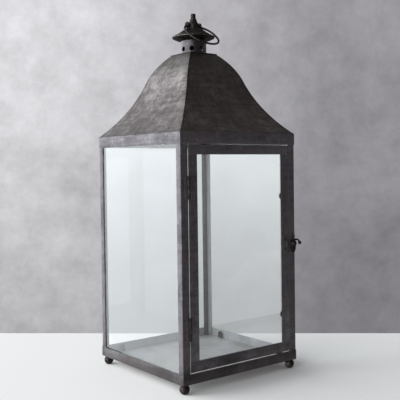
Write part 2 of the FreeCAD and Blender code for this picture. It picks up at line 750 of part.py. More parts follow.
def latch_lever():
    """A turn piece: disc, drop-shaped tail that locks the door, and a curved arm with a ball."""

    def place(x, z, y=LEVER_BACK_Y):
        return V(LATCH_X + x, y, LATCH_Z + z)

    through = V(0, -LEVER_THICKNESS, 0)
    disc = Part.makeCylinder(LEVER_DISC_RADIUS, LEVER_THICKNESS, place(0, 0), V(0, -1, 0))
    root_z = -math.sqrt(LEVER_DISC_RADIUS**2 - LEVER_TAIL_ROOT**2)
    bulge_z = (root_z - LEVER_TAIL_LENGTH) / 2
    tip = place(0, -LEVER_TAIL_LENGTH)
    left = place(-LEVER_TAIL_ROOT, root_z)
    right = place(LEVER_TAIL_ROOT, root_z)
    edges = [
        arc(left, place(-LEVER_TAIL_BULGE, bulge_z), tip),
        arc(tip, place(LEVER_TAIL_BULGE, bulge_z), right),
        line(right, left),
    ]
    tail = Part.Face(Part.Wire(edges)).extrude(through)
    tail_hole = Part.makeCylinder(LEVER_TAIL_HOLE, LEVER_THICKNESS, place(0, bulge_z), V(0, -1, 0))
    arm_y = LEVER_BACK_Y - LEVER_THICKNESS / 2
    ball_y = LEVER_BACK_Y - LEVER_BALL_RADIUS
    start = place(0, LEVER_DISC_RADIUS - LEVER_ARM_RADIUS, arm_y)
    middle = place(LEVER_ARM_MID, LEVER_ARM_RISE, (arm_y + ball_y) / 2)
    ball_place = place(LEVER_BALL_REACH, LEVER_BALL_RISE, ball_y)
    curve = Part.Arc(start, middle, ball_place)
    tangent = curve.tangent(curve.FirstParameter)[0]
    section = Part.Wire(Part.makeCircle(LEVER_ARM_RADIUS, start, tangent))
    arm = Part.Wire([curve.toShape()]).makePipeShell([section], True, True)
    ball = Part.makeSphere(LEVER_BALL_RADIUS, ball_place)
    lever = disc.fuse([tail, arm, ball]).cut(tail_hole)
    bore_start = place(0, 0, LATCH_PLATE_Y)
    bore_depth = 2 * (LATCH_STANDOFF + LEVER_THICKNESS)
    bore = Part.makeCylinder(LATCH_PIN_RADIUS + FIT_CLEARANCE, bore_depth, bore_start, V(0, -1, 0))
    return lever.cut(bore).removeSplitter()


def latch_keeper():
    """A plate on the stile with a rib that the tail of the latch closes over."""
    half = KEEPER_WIDTH / 2
    rise = KEEPER_HEIGHT / 2
    plate = block(KEEPER_X - half, LATCH_PLATE_Y, LATCH_Z - rise, KEEPER_X + half, FACE_Y, LATCH_Z + rise)
    rib_x = KEEPER_X + half - KEEPER_RIB_SETBACK
    rib_y = LEVER_BACK_Y + MOVING_GAP
    rib_half = KEEPER_RIB_LENGTH / 2
    rib = block(rib_x - KEEPER_RIB_WIDTH, rib_y, LATCH_Z - rib_half, rib_x, LATCH_PLATE_Y, LATCH_Z + rib_half)
    return drilled(plate.fuse(rib).removeSplitter(), keeper_screw_places(), LATCH_SCREW_RADIUS)


# Assembly
pieces["base_tray"] = base_tray()
for corner, (sx, sy) in CORNERS.items():
    pieces["foot_" + corner] = foot(V(sx * FOOT_PLACE, sy * FOOT_PLACE, 0))
pieces["foot_screws"] = Part.makeCompound([foot_screw(place) for place in foot_places()])

rail = bottom_rail()
band = mitred_strip(EAVE_Z - BAND_HEIGHT, EAVE_Z)
panel = roof_panel()
for side in SIDES:
    pieces["bottom_rail_" + side] = on_side(rail, side)
    pieces["top_band_" + side] = on_side(band, side)
    pieces["roof_panel_" + side] = on_side(panel, side)
    if side != "front":
        pieces["glass_" + side] = on_side(pane(), side)
pieces["rail_rivets"] = rail_rivets()
pieces["pane_tabs"] = pane_tabs()

for corner, (sx, sy) in CORNERS.items():
    pieces["corner_post_" + corner] = corner_post(sx, sy)
hinge_post = pieces["corner_post_front_left"]
pieces["corner_post_front_left"] = drilled(hinge_post, hinge_rivet_places(-1), HINGE_RIVET_RADIUS)
latch_post = drilled(pieces["corner_post_front_right"], latch_screw_places(), LATCH_SCREW_RADIUS)
pieces["corner_post_front_right"] = drilled(latch_post, [(LATCH_X, LATCH_Z)], LATCH_PIN_RADIUS)

pieces["roof_plate"] = roof_plate()
pieces["vent_collar"] = vent_collar()
pieces["smoke_cap_lower"] = smoke_cap_lower()
pieces["smoke_cap_upper"] = smoke_cap_upper()
pieces["finial"] = finial()
pieces["finial_screw"] = finial_screw()
pieces["bail_studs"] = bail_studs()
pieces["bail_handle"] = bail_handle()

pieces["door_hinge_stile"] = drilled(door_stile(-1), hinge_rivet_places(1), HINGE_RIVET_RADIUS)
pieces["door_latch_stile"] = drilled(door_stile(1), keeper_screw_places(), LATCH_SCREW_RADIUS)
pieces["door_top_rail"] = door_rail(OPENING_Z1, DOOR_Z1)
pieces["door_bottom_rail"] = door_rail(DOOR_Z0, OPENING_Z0)
pieces["door_glass"] = door_glass()
pieces["door_clips"] = door_clips()

post_knuckles = range(0, HINGE_KNUCKLES, 2)
door_knuckles = range(1, HINGE_KNUCKLES, 2)
for name, level in HINGE_LEVELS.items():
    pieces[name + "_hinge_post_leaf"] = hinge_leaf(level, -1, post_knuckles)
    pieces[name + "_hinge_door_leaf"] = hinge_leaf(level, 1, door_knuckles)
    pieces[name + "_hinge_pin"] = hinge_pin(level)
pieces["hinge_post_rivets"] = hinge_rivets(-1, POST_INNER_Y)
pieces["hinge_door_rivets"] = hinge_rivets(1, DOOR_INNER_Y)

pieces["latch_plate"] = latch_plate()
pieces["latch_plate_screws"] = latch_screws(latch_screw_places(), POST_INNER_Y)
pieces["latch_pivot"] = latch_pivot()
pieces["latch_lever"] = latch_lever()
pieces["latch_keeper"] = latch_keeper()
pieces["latch_keeper_screws"] = latch_screws(keeper_screw_places(), DOOR_INNER_Y)

os.makedirs("parts", exist_ok=True)
for name, shape in pieces.items():
    shape.exportStep("parts/" + name + ".step")
print(len(pieces), "pieces, bail droop", round(math.degrees(bail_droop()), 3), "degrees")
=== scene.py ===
import json
import math

import bmesh
import bpy
from bpy.props import FloatProperty, FloatVectorProperty, IntProperty, PointerProperty
from mathutils import Matrix, Vector


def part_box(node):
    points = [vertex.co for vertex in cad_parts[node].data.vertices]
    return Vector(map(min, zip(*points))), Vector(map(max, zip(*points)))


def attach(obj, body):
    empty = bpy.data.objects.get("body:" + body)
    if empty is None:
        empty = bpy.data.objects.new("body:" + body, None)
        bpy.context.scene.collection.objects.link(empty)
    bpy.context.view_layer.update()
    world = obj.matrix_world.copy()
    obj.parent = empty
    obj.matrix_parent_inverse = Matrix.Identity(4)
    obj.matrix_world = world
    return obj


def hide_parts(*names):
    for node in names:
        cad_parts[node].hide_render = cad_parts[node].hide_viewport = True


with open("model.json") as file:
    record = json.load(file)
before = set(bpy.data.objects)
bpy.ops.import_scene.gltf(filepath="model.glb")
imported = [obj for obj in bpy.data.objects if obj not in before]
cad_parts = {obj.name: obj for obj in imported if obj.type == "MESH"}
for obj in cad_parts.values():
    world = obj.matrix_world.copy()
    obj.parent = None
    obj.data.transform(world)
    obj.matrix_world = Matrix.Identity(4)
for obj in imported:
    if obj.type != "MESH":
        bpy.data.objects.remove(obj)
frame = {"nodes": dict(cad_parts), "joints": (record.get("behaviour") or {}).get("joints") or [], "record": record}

bl_info = {
    "name": "Candle Lantern",
    "version": (1, 0, 0),
    "blender": (4, 5, 0),
    "location": "View3D > Sidebar > Lantern",
    "description": "Makes a sheet-metal candle lantern with its glass, hinges, latch and bail",
    "category": "Add Mesh",
}

# Units, axes and limits
MM = 0.001
WELD = 1e-6
X, Y, Z = range(3)
QUARTER = math.pi / 2
FULL_TURN = 2 * math.pi
SHARP_ANGLE = math.radians(30)
SMOOTH_ANGLE = math.radians(32)
WIRE_SMOOTH_ANGLE = math.radians(50)
SMALL_STEPS = 24
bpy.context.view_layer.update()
BODY_OF = {
    node: body
    for body, nodes in frame["record"]["behaviour"]["bodies"].items()
    for node in nodes
}
SIDES = ("front", "right", "back", "left")
CORNERS = {
    "front_left": (-1, -1),
    "front_right": (1, -1),
    "back_left": (-1, 1),
    "back_right": (1, 1),
}

# Planes and levels of the frame, in metres
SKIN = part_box("bottom_rail_front")[1].x
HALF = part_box("base_tray")[1].x
BASE_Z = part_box("base_tray")[0].z
TRAY_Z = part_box("base_tray")[1].z
RAIL_TOP_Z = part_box("bottom_rail_front")[1].z
BAND_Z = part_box("top_band_front")[0].z
EAVE_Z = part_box("top_band_front")[1].z
ROOF_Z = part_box("roof_plate")[0].z
COLLAR_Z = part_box("vent_collar")[0].z
CAP_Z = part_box("smoke_cap_lower")[0].z
SEAM_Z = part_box("smoke_cap_upper")[0].z
FINIAL_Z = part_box("finial")[0].z
FINIAL_TOP_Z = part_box("finial")[1].z
FACE_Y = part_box("door_top_rail")[0].y
DOOR_BACK_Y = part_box("door_top_rail")[1].y
BAIL_PIN = Vector((0, 0, (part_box("bail_studs")[0].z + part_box("bail_studs")[1].z) / 2))


def joint_place(name):
    found = [joint for joint in frame["joints"] if joint["name"] == name]
    return Vector(found[0]["pos_m"])


HINGE_AXIS = joint_place("door_hinge")
LATCH_AXIS = joint_place("latch_turn")


# Sizes, colours and lights that a user may change
def length_property(name, description, millimetres):
    default = millimetres * MM
    return FloatProperty(name=name, description=description, default=default, unit="LENGTH")


def angle_property(name, description, degrees):
    default = math.radians(degrees)
    return FloatProperty(name=name, description=description, default=default, subtype="ANGLE")


def colour_property(name, description, default):
    return FloatVectorProperty(
        name=name, description=description, default=default, size=3, subtype="COLOR"
    )


class LanternSizes(bpy.types.PropertyGroup):
    edge_round: length_property("Edge round", "Rounding of cut sheet edges", 0.3)
    fold_round: length_property("Fold round", "Outer radius of folded corners", 1.3)
    arris: length_property("Arris", "Ground edge of the glass", 0.35)
    roof_sheet: length_property("Roof sheet", "Thickness of the roof panels", 1.0)
    roof_bend_half: length_property("Roof bend", "Half width where hollow turns to full", 64)
    roof_bend_height: length_property("Roof bend height", "Height of that bend above the eaves", 96)
    roof_bend_angle: angle_property("Roof bend angle", "Slope at that bend", 70)
    roof_top_half: length_property("Roof top", "Half width of the roof at its top", 29.5)
    roof_rows: IntProperty(
        name="Roof rows", description="Rows of faces in each curve", default=20, min=4
    )
    turning_steps: IntProperty(
        name="Turning steps", description="Faces round a turned piece", default=72, min=12
    )
    vent_radius: length_property("Vent hole", "Radius of the holes in the collar", 4.5)
    wire_radius: length_property("Bail wire", "Radius of the bail's wire", 1.8)
    bail_droop: angle_property("Bail droop", "Angle of the bail below level", 38.213)


class LanternColours(bpy.types.PropertyGroup):
    sheet_dark: colour_property("Sheet, dark", "Dark patina", (0.054, 0.047, 0.051))
    sheet_middle: colour_property("Sheet, middle", "Usual patina", (0.11, 0.099, 0.108))
    sheet_pale: colour_property("Sheet, pale", "Pale smudges", (0.2, 0.19, 0.205))
    sheet_bloom: colour_property("Sheet, bloom", "Brown bloom", (0.1, 0.068, 0.078))
    sheet_rubbed: colour_property("Sheet, rubbed", "Rubbed edges", (0.38, 0.37, 0.37))
    roof_dark: colour_property("Roof, dark", "Dark patina", (0.033, 0.0235, 0.0215))
    roof_middle: colour_property("Roof, middle", "Usual patina", (0.069, 0.052, 0.0495))
    roof_pale: colour_property("Roof, pale", "Pale smudges", (0.205, 0.18, 0.18))
    roof_bloom: colour_property("Roof, bloom", "Brown bloom", (0.09, 0.064, 0.054))
    soot: colour_property("Soot", "Smoke stain round the vent", (0.03, 0.022, 0.018))
    iron_dark: colour_property("Hardware, dark", "Near-black iron", (0.032, 0.027, 0.025))
    iron_worn: colour_property("Hardware, worn", "Worn high spots", (0.32, 0.3, 0.27))
    zinc: colour_property("Tray", "Dull zinc", (0.41, 0.41, 0.41))
    zinc_stain: colour_property("Tray stains", "Stains on the zinc", (0.23, 0.22, 0.21))
    glass: colour_property("Glass", "Tint of the glass", (0.972, 0.986, 0.99))


class LanternStage(bpy.types.PropertyGroup):
    camera_place: FloatVectorProperty(
        name="Camera",
        description="Camera's place",
        default=(-0.7995, -1.0403, 0.3665),
        size=3,
        subtype="TRANSLATION",
    )
    camera_turn: angle_property("Camera turn", "Turn from the front", 37.911)
    camera_tilt: angle_property("Camera tilt", "Tilt above level", -1.455)
    camera_roll: angle_property("Camera roll", "Roll about the line of sight", -0.756)
    lens: FloatProperty(
        name="Lens", description="Focal length in millimetres", default=64.415, unit="CAMERA"
    )
    shift: FloatProperty(name="Shift", description="Rise of the lens", default=-0.0375)
    table: colour_property("Table", "Colour of the table top", (0.8, 0.785, 0.775))
    table_turn: angle_property("Table turn", "Turn of the table", 3.25)
    wall_left: colour_property("Wall, left", "Backdrop, left", (0.64, 0.635, 0.66))
    wall_right: colour_property("Wall, right", "Backdrop, right", (0.29, 0.28, 0.3))
    glare: colour_property("Glare", "Backdrop seen through the glass", (0.955, 0.98, 1.0))
    room: FloatProperty(name="Room", description="Brightness of the room in front", default=0.15)
    back: FloatProperty(
        name="Back", description="Brightness of the wall behind, as a light", default=0.3
    )
    window: FloatProperty(name="Window", description="Brightness of the window", default=3.2)
    window_glint: FloatProperty(
        name="Glint", description="Brightness of the window in the panes", default=3.6
    )
    window_tint: colour_property("Window tint", "Colour of the daylight", (0.91, 0.962, 1.0))
    window_aim: FloatVectorProperty(
        name="Window side",
        description="Direction of the window",
        default=(-0.86, 0.51, 0.0),
        size=3,
        subtype="DIRECTION",
    )
    window_lamp: FloatProperty(
        name="Window lamp", description="Lamp at the window", default=62.0, unit="POWER"
    )
    top_lamp: FloatProperty(
        name="Top lamp", description="Soft lamp over the table", default=0.8, unit="POWER"
    )


# Bench tools: how pieces are begun, selected, shaped and finished
def clear_bench():
    if bpy.context.mode != "OBJECT":
        bpy.ops.object.mode_set(mode="OBJECT")
    bpy.ops.object.select_all(action="DESELECT")


def pick(*pieces):
    """Object mode with these pieces selected, the first one active."""
    clear_bench()
    for piece in pieces:
        piece.select_set(True)
    bpy.context.view_layer.objects.active = pieces[0]


def set_in_place():
    bpy.ops.object.transform_apply(location=True, rotation=True, scale=True)


def begin(primitive, **settings):
    """A primitive at its size and place, selected all over in edit mode."""
    clear_bench()
    getattr(bpy.ops.mesh, "primitive_" + primitive + "_add")(align="WORLD", **settings)
    set_in_place()
    bpy.ops.object.mode_set(mode="EDIT")
    bpy.ops.mesh.select_mode(type="VERT")
    bpy.ops.mesh.select_all(action="SELECT")
    return bpy.context.object


def block(low, high):
    """A cube stretched between two corners."""
    low, high = Vector(low), Vector(high)
    return begin("cube", size=1, location=(low + high) / 2, scale=high - low)


def mark(kind, test):
    """Selects the vertices, edges or faces that pass a test."""
    bpy.ops.mesh.select_mode(type=kind)
    bpy.ops.mesh.select_all(action="DESELECT")
    piece = bpy.context.object
    mesh = bmesh.from_edit_mesh(piece.data)
    parts = {"VERT": mesh.verts, "EDGE": mesh.edges, "FACE": mesh.faces}[kind]
    chosen = [part for part in parts if test(part)]
    if not chosen:
        raise RuntimeError("no place to work on " + piece.name)
    for part in chosen:
        part.select_set(True)
    mesh.select_flush_mode()
    bmesh.update_edit_mesh(piece.data)


def mark_all():
    bpy.ops.mesh.select_mode(type="VERT")
    bpy.ops.mesh.select_all(action="SELECT")


def middle(edge):
    return (edge.verts[0].co + edge.verts[1].co) / 2


def along(edge):
    return (edge.verts[1].co - edge.verts[0].co).normalized()


def runs_along(edge, axis):
    return abs(along(edge)[axis]) > 0.9


def runs_across(edge, axis):
    return abs(along(edge)[axis]) < 0.1


def sharp(edge):
    return len(edge.link_faces) == 2 and edge.calc_face_angle(0) > SHARP_ANGLE


def round_edges(width, test=sharp, segments=2):
    mark("EDGE", test)
    bpy.ops.mesh.bevel(
        offset=width, segments=segments, profile=0.5, affect="EDGES", clamp_overlap=True
    )


def face_outwards():
    mark_all()
    bpy.ops.mesh.remove_doubles(threshold=WELD)
    bpy.ops.mesh.normals_make_consistent(inside=False)


def cut(place, direction):
    """Cuts away what lies beyond a plane and closes the cut."""
    mark_all()
    bpy.ops.mesh.bisect(plane_co=place, plane_no=direction, use_fill=True, clear_outer=True)


def push(offset):
    bpy.ops.mesh.extrude_region_move(TRANSFORM_OT_translate={"value": Vector(offset)})


def trace(points):
    """A line of edges from one point to the next."""
    points = [Vector(point) for point in points]
    piece = begin("plane", size=MM, location=points[0])
    bpy.ops.mesh.merge(type="CENTER")
    for start, end in zip(points, points[1:]):
        bpy.ops.mesh.extrude_vertices_move(TRANSFORM_OT_translate={"value": end - start})
    mark_all()
    return piece


def slab(outline, depth):
    """A flat outline, filled and given a thickness."""
    piece = trace(outline + outline[:1])
    bpy.ops.mesh.remove_doubles(threshold=WELD)
    bpy.ops.mesh.edge_face_add()
    push(depth)
    face_outwards()
    return piece


def turn(profile, steps=None):
    """A profile of radius and height, spun round the upright axis."""
    piece = trace([(radius, 0, height) for radius, height in profile])
    steps = steps or bpy.context.scene.lantern_sizes.turning_steps
    bpy.ops.mesh.spin(steps=steps, angle=FULL_TURN, center=(0, 0, 0), axis=(0, 0, 1))
    face_outwards()
    return piece


def arc_of(start, through, end):
    """Centre, radius, first angle and sweep of the arc through three points of a plane."""
    (ax, ay), (bx, by), (cx, cy) = start, through, end
    double = 2 * (ax * (by - cy) + bx * (cy - ay) + cx * (ay - by))
    a, b, c = ax * ax + ay * ay, bx * bx + by * by, cx * cx + cy * cy
    x = (a * (by - cy) + b * (cy - ay) + c * (ay - by)) / double
    y = (a * (cx - bx) + b * (ax - cx) + c * (bx - ax)) / double
    radius = math.hypot(ax - x, ay - y)
    first, second, last = (math.atan2(py - y, px - x) for px, py in (start, through, end))
    sweep = (last - first) % FULL_TURN
    if (second - first) % FULL_TURN > sweep:
        sweep -= FULL_TURN
    return x, y, radius, first, sweep


def on_circle(x, y, radius, angle):
    return x + radius * math.cos(angle), y + radius * math.sin(angle)


def bow(start, through, end, steps):
    """Points along the arc through three points of a plane."""
    x, y, radius, first, sweep = arc_of(start, through, end)
    angles = [first + sweep * step / steps for step in range(steps + 1)]
    return [on_circle(x, y, radius, angle) for angle in angles]


def copied(piece, turn_by=(0, 0, 0), move_by=(0, 0, 0)):
    """A copy with its own mesh, turned and moved."""
    pick(piece)
    bpy.ops.object.duplicate(linked=False)
    copy = bpy.context.object
    copy.rotation_euler = turn_by
    copy.location = move_by
    set_in_place()
    return copy


def moved(piece, turn_by=(0, 0, 0), move_by=(0, 0, 0)):
    pick(piece)
    piece.rotation_euler = turn_by
    piece.location = move_by
    set_in_place()
    return piece


def join(pieces):
    pick(*pieces)
    bpy.ops.object.join()
    return bpy.context.object


def discard(piece):
    bpy.data.objects.remove(piece, do_unlink=True)


def apply_modifier(piece, kind, **settings):
    pick(piece)
    modifier = piece.modifiers.new(kind.lower(), kind)
    for key, value in settings.items():
        setattr(modifier, key, value)
    bpy.ops.object.modifier_apply(modifier=modifier.name)


def combine(piece, tool, operation):
    """Cuts a tool's shape out of a piece, or adds it."""
    clear_bench()
    apply_modifier(piece, "BOOLEAN", operation=operation, solver="EXACT", object=tool)
    discard(tool)
    edit(piece)
    mark_all()
    bpy.ops.mesh.dissolve_degenerate(threshold=WELD)
    clear_bench()
    return piece


def edit(piece):
    pick(piece)
    bpy.ops.object.mode_set(mode="EDIT")


def side_turn(side):
    return (0, 0, SIDES.index(side) * QUARTER)


def rivet(shank, depth, head, rise, steps):
    """A domed rivet that looks forwards, with the foot of its head at the origin."""
    dome = bow((head, 0), (head * 0.62, rise * 0.8), (0, rise), steps)
    made = turn([(0, -depth), (shank, -depth), (shank, 0)] + dome, SMALL_STEPS)
    return moved(made, turn_by=(QUARTER, 0, 0))


def complete(piece, nodes, finish, smooth=SMOOTH_ANGLE):
    """Names a piece for its node, gives it its finish and sets it in the frame."""
    pick(piece)
    bpy.ops.object.shade_smooth_by_angle(angle=smooth)
    piece.name = "finished_" + nodes[0]
    piece.data.name = piece.name
    piece.data.materials.clear()
    piece.data.materials.append(finish_named(finish))
    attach(piece, BODY_OF[nodes[0]])
    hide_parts(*nodes)
    return piece


def line_faces(piece, finish, test):
    """Gives the faces that pass a test a finish of their own."""
    piece.data.materials.append(finish_named(finish))
    for face in piece.data.polygons:
        if test(face):
            face.material_index = 1


def looks_inward(face, axes=(X, Y)):
    """Whether a wall's face looks straight at the upright axis."""
    nearly = 0.85
    return -min(face.normal[axis] * face.center[axis] for axis in axes) > nearly * HALF


# Shader maths: sockets that stand in expressions, and one way to add a node
class Value:
    """A socket that can stand in an arithmetic expression."""

    def __init__(self, finish, socket):
        self.finish = finish
        self.socket = socket

    def maths(self, operation, first, second=0.0):
        return self.finish.node("Math", {"operation": operation}, {0: first, 1: second})

    def __add__(self, other):
        return self.maths("ADD", self, other)

    def __radd__(self, other):
        return self.maths("ADD", other, self)

    def __sub__(self, other):
        return self.maths("SUBTRACT", self, other)

    def __rsub__(self, other):
        return self.maths("SUBTRACT", other, self)

    def __mul__(self, other):
        return self.maths("MULTIPLY", self, other)

    def __rmul__(self, other):
        return self.maths("MULTIPLY", other, self)

    def __abs__(self):
        return self.maths("ABSOLUTE", self)


class Finish:
    """The node tree of a material or of the world."""

    def __init__(self, tree):
        self.tree = tree
        tree.nodes.clear()

    def node(self, kind, settings=None, inputs=None, output=0):
        """Adds a node: its settings first, then the values or links of its sockets."""
        node = self.tree.nodes.new("ShaderNode" + kind)
        for key, value in (settings or {}).items():
            if key == "stops":
                for place, _ in value[len(node.color_ramp.elements):]:
                    node.color_ramp.elements.new(place)
                for element, (place, shade) in zip(node.color_ramp.elements, value):
                    element.position = place
                    element.color = (*shade, 1)
            else:
                setattr(node, key, value)
        for key, value in (inputs or {}).items():
            if isinstance(value, Value):
                self.tree.links.new(value.socket, node.inputs[key])
            else:
                node.inputs[key].default_value = value
        return Value(self, node.outputs[output]) if node.outputs else node

    def other(self, value, output):
        """Another output of the node that gave a value."""
        return Value(self, value.socket.node.outputs[output])

    def place(self, scale=(1, 1, 1)):
        """Object coordinates, stretched."""
        found = self.node("TexCoord", output="Object")
        if scale == (1, 1, 1):
            return found
        return self.node("Mapping", {"vector_type": "POINT"}, {"Vector": found, "Scale": scale})

    def noise(self, place, scale, detail=4.0, roughness=0.55, distortion=0.0):
        inputs = {
            "Vector": place,
            "Scale": scale,
            "Detail": detail,
            "Roughness": roughness,
            "Distortion": distortion,
        }
        return self.node("TexNoise", None, inputs)

    def between(self, value, low, high, out_low=0.0, out_high=1.0):
        """A soft step from one level to another."""
        ends = {"From Min": low, "From Max": high, "To Min": out_low, "To Max": out_high}
        return self.node("MapRange", {"interpolation_type": "SMOOTHSTEP"}, {"Value": value, **ends})

    def mix(self, share, first, second, blend="MIX"):
        settings = {"data_type": "RGBA", "blend_type": blend, "clamp_result": True}
        return self.node("Mix", settings, {0: share, 6: first, 7: second}, output=2)

    def dot(self, first, second):
        settings = {"operation": "DOT_PRODUCT"}
        return self.node("VectorMath", settings, {0: first, 1: second}, output="Value")

    def scaled(self, tint, level):
        return self.node("VectorMath", {"operation": "SCALE"}, {0: tint, "Scale": level})

    def bump(self, height, strength, distance):
        inputs = {"Strength": strength, "Distance": distance, "Height": height}
        return self.node("Bump", None, inputs)

    def edge(self, radius):
        """How far the surface turns within a short distance: 0 on flats, up to 1 on edges."""
        rounded = self.node("Bevel", {"samples": 6}, {"Radius": radius})
        plain = self.node("NewGeometry", output="Normal")
        return self.between(1 - self.dot(rounded, plain), 0.01, 0.2)

    def surface(self, inputs):
        shader = self.node("BsdfPrincipled", None, inputs)
        self.node("OutputMaterial", None, {"Surface": shader})
        return shader


def colour(value):
    return (*value, 1)


def begin_finish(name):
    material = bpy.data.materials.new(name)
    material.use_nodes = True
    return material, Finish(material.node_tree)


def bottom_darkening(finish, place, clouds):
    """Darker towards the bottom."""
    height = finish.node("SeparateXYZ", None, {0: place}, output="Z")
    darkening_reach = 60 * MM
    return finish.between(height + (clouds - 0.5) * 0.06, darkening_reach, BASE_Z) * 0.68


def roof_soot_and_darkening(finish, place, clouds):
    """Smoke stains round the vent, and darker along the hips and towards the eaves."""
    height = finish.node("SeparateXYZ", None, {0: place}, output="Z")
    hip = abs(abs(finish.other(height, "X")) - abs(finish.other(height, "Y")))
    clean, sooty = ROOF_Z - 60 * MM, ROOF_Z + 5 * MM
    hip_reach, eave_reach = 9 * MM, 7 * MM
    vent = finish.between(height + (clouds - 0.5) * 0.12, clean, sooty) * 0.75
    hips = finish.between(hip, hip_reach, 0) * 0.5
    eaves = finish.between(height, EAVE_Z + eave_reach, EAVE_Z) * 0.6
    return 1 - (1 - vent) * (1 - hips) * (1 - eaves)


def roof_smudge_and_highlight(finish, place, clouds):
    """Pale smudging and a painted highlight where the left panel turns from hollow to full."""
    height = finish.node("SeparateXYZ", None, {0: place}, output="Z")
    bend = EAVE_Z + bpy.context.scene.lantern_sizes.roof_bend_height
    above, far, near = 7 * MM, 30 * MM, 4 * MM
    outside, inside = 5 * MM, -20 * MM
    level = finish.between(abs(height - bend - above), far, near)
    hip = finish.other(height, "X") + abs(finish.other(height, "Y"))
    left = finish.between(hip, outside, inside)
    return level * left * finish.between(clouds, 0.36, 0.6) * 0.068


def patina(name, shades, darkening, smudge_and_highlight=None, polish=0.0):
    """Grey sheet under a brown-black patina, wiped, smudged and rubbed pale along its edges."""
    material, finish = begin_finish(name)
    tints = bpy.context.scene.lantern_colours
    dark, usual, pale, brown = shades
    place = finish.place()
    clouds = finish.noise(place, scale=9, detail=5, roughness=0.6, distortion=0.5)
    smudges = finish.noise(place, scale=75, detail=7, roughness=0.72)
    wiped = finish.noise(finish.place((16, 16, 170)), scale=1, detail=5, roughness=0.65)
    drawn = finish.noise(finish.place((190, 190, 14)), scale=1, detail=5, roughness=0.65)
    grains = finish.noise(place, scale=520, detail=3, roughness=0.65)
    tone = clouds * 0.24 + smudges * 0.3 + wiped * 0.18 + drawn * 0.1 + grains * 0.18
    # Where given, a pale band that is partly smudging and partly painted highlight
    if smudge_and_highlight:
        tone = tone + smudge_and_highlight(finish, place, clouds)
    stops = [(0.38, dark), (0.5, usual), (0.66, pale)]
    base = finish.node("ValToRGB", {"stops": stops}, {0: tone})
    spots = finish.noise(place, scale=17, detail=6, roughness=0.7, distortion=0.6)
    bloom = finish.between(spots, 0.5, 0.68) * 0.6
    base = finish.mix(bloom, base, colour(brown))
    # The finish's darkening, mixed in with the soot colour
    base = finish.mix(darkening(finish, place, clouds), base, colour(tints.soot))
    handled = finish.noise(place, scale=60, detail=4)
    scratches = finish.noise(finish.place((700, 700, 30)), scale=1, detail=2)
    wear = finish.edge(1.2 * MM) * finish.between(handled, 0.36, 0.62)
    wear = wear * 0.25 + finish.between(scratches, 0.68, 0.74) * 0.25
    base = finish.mix(wear, base, colour(tints.sheet_rubbed))
    relief = clouds * 0.4 + smudges * 0.3 + grains * 0.14
    bump = finish.bump(relief, 0.35, 0.8 * MM)
    finish.surface(
        {
            "Base Color": base,
            "Metallic": 0.86 - bloom * 0.3,
            "Roughness": 0.66 - polish - finish.between(tone, 0.42, 0.6) * 0.28 + bloom * 0.1,
            "Coat Weight": 0.2,
            "Coat Roughness": 0.38,
            "Normal": bump,
        }
    )
    return material


def aged_sheet():
    tints = bpy.context.scene.lantern_colours
    shades = (tints.sheet_dark, tints.sheet_middle, tints.sheet_pale, tints.sheet_bloom)
    return patina("aged_sheet", shades, bottom_darkening)


def roof_sheet():
    tints = bpy.context.scene.lantern_colours
    shades = (tints.roof_dark, tints.roof_middle, tints.roof_pale, tints.roof_bloom)
    return patina("roof_sheet", shades, roof_soot_and_darkening, roof_smudge_and_highlight)


def vent_sheet():
    tints = bpy.context.scene.lantern_colours
    shades = (tints.soot, tints.sheet_dark, tints.sheet_middle, tints.soot)
    return patina("vent_sheet", shades, bottom_darkening, polish=0.22)


def iron(name, dark, roughness):
    """Near-black cast and drawn iron, worn on its high spots."""
    material, finish = begin_finish(name)
    tints = bpy.context.scene.lantern_colours
    place = finish.place()
    patches = finish.noise(place, scale=130, detail=5, roughness=0.6)
    pits = finish.noise(place, scale=900, detail=3, roughness=0.6)
    wear = finish.edge(0.7 * MM) * finish.between(patches, 0.35, 0.6)
    wear = wear * 0.8 + finish.between(patches, 0.56, 0.76) * 0.3
    base = finish.mix(wear, colour(dark), colour(tints.iron_worn))
    bump = finish.bump(patches * 0.4 + pits * 0.4, 0.3, 0.4 * MM)
    finish.surface(
        {
            "Base Color": base,
            "Metallic": 0.8 + wear * 0.15,
            "Specular Tint": (0.35, 0.34, 0.33, 1),
            "Roughness": roughness - wear * 0.1 + pits * 0.1,
            "Normal": bump,
        }
    )
    return material


def dark_iron():
    return iron("dark_iron", bpy.context.scene.lantern_colours.iron_dark, 0.36)


def drawn_wire():
    return iron("drawn_wire", bpy.context.scene.lantern_colours.iron_dark, 0.2)


def plate_iron():
    return iron("plate_iron", bpy.context.scene.lantern_colours.sheet_middle, 0.42)


def smoked_sheet():
    """Near-black painted shade for the inner faces of the front posts, mottled with the soot colour."""
    material, finish = begin_finish("smoked_sheet")
    tints = bpy.context.scene.lantern_colours
    place = finish.place()
    black = (0.008, 0.007, 0.007, 1)
    clouds = finish.noise(place, scale=45, detail=6, roughness=0.65)
    base = finish.mix(finish.between(clouds, 0.35, 0.7), black, colour(tints.soot))
    bump = finish.bump(clouds, 0.3, 0.5 * MM)
    finish.surface({"Base Color": base, "Roughness": 0.8 + clouds * 0.15, "Normal": bump})
    return material


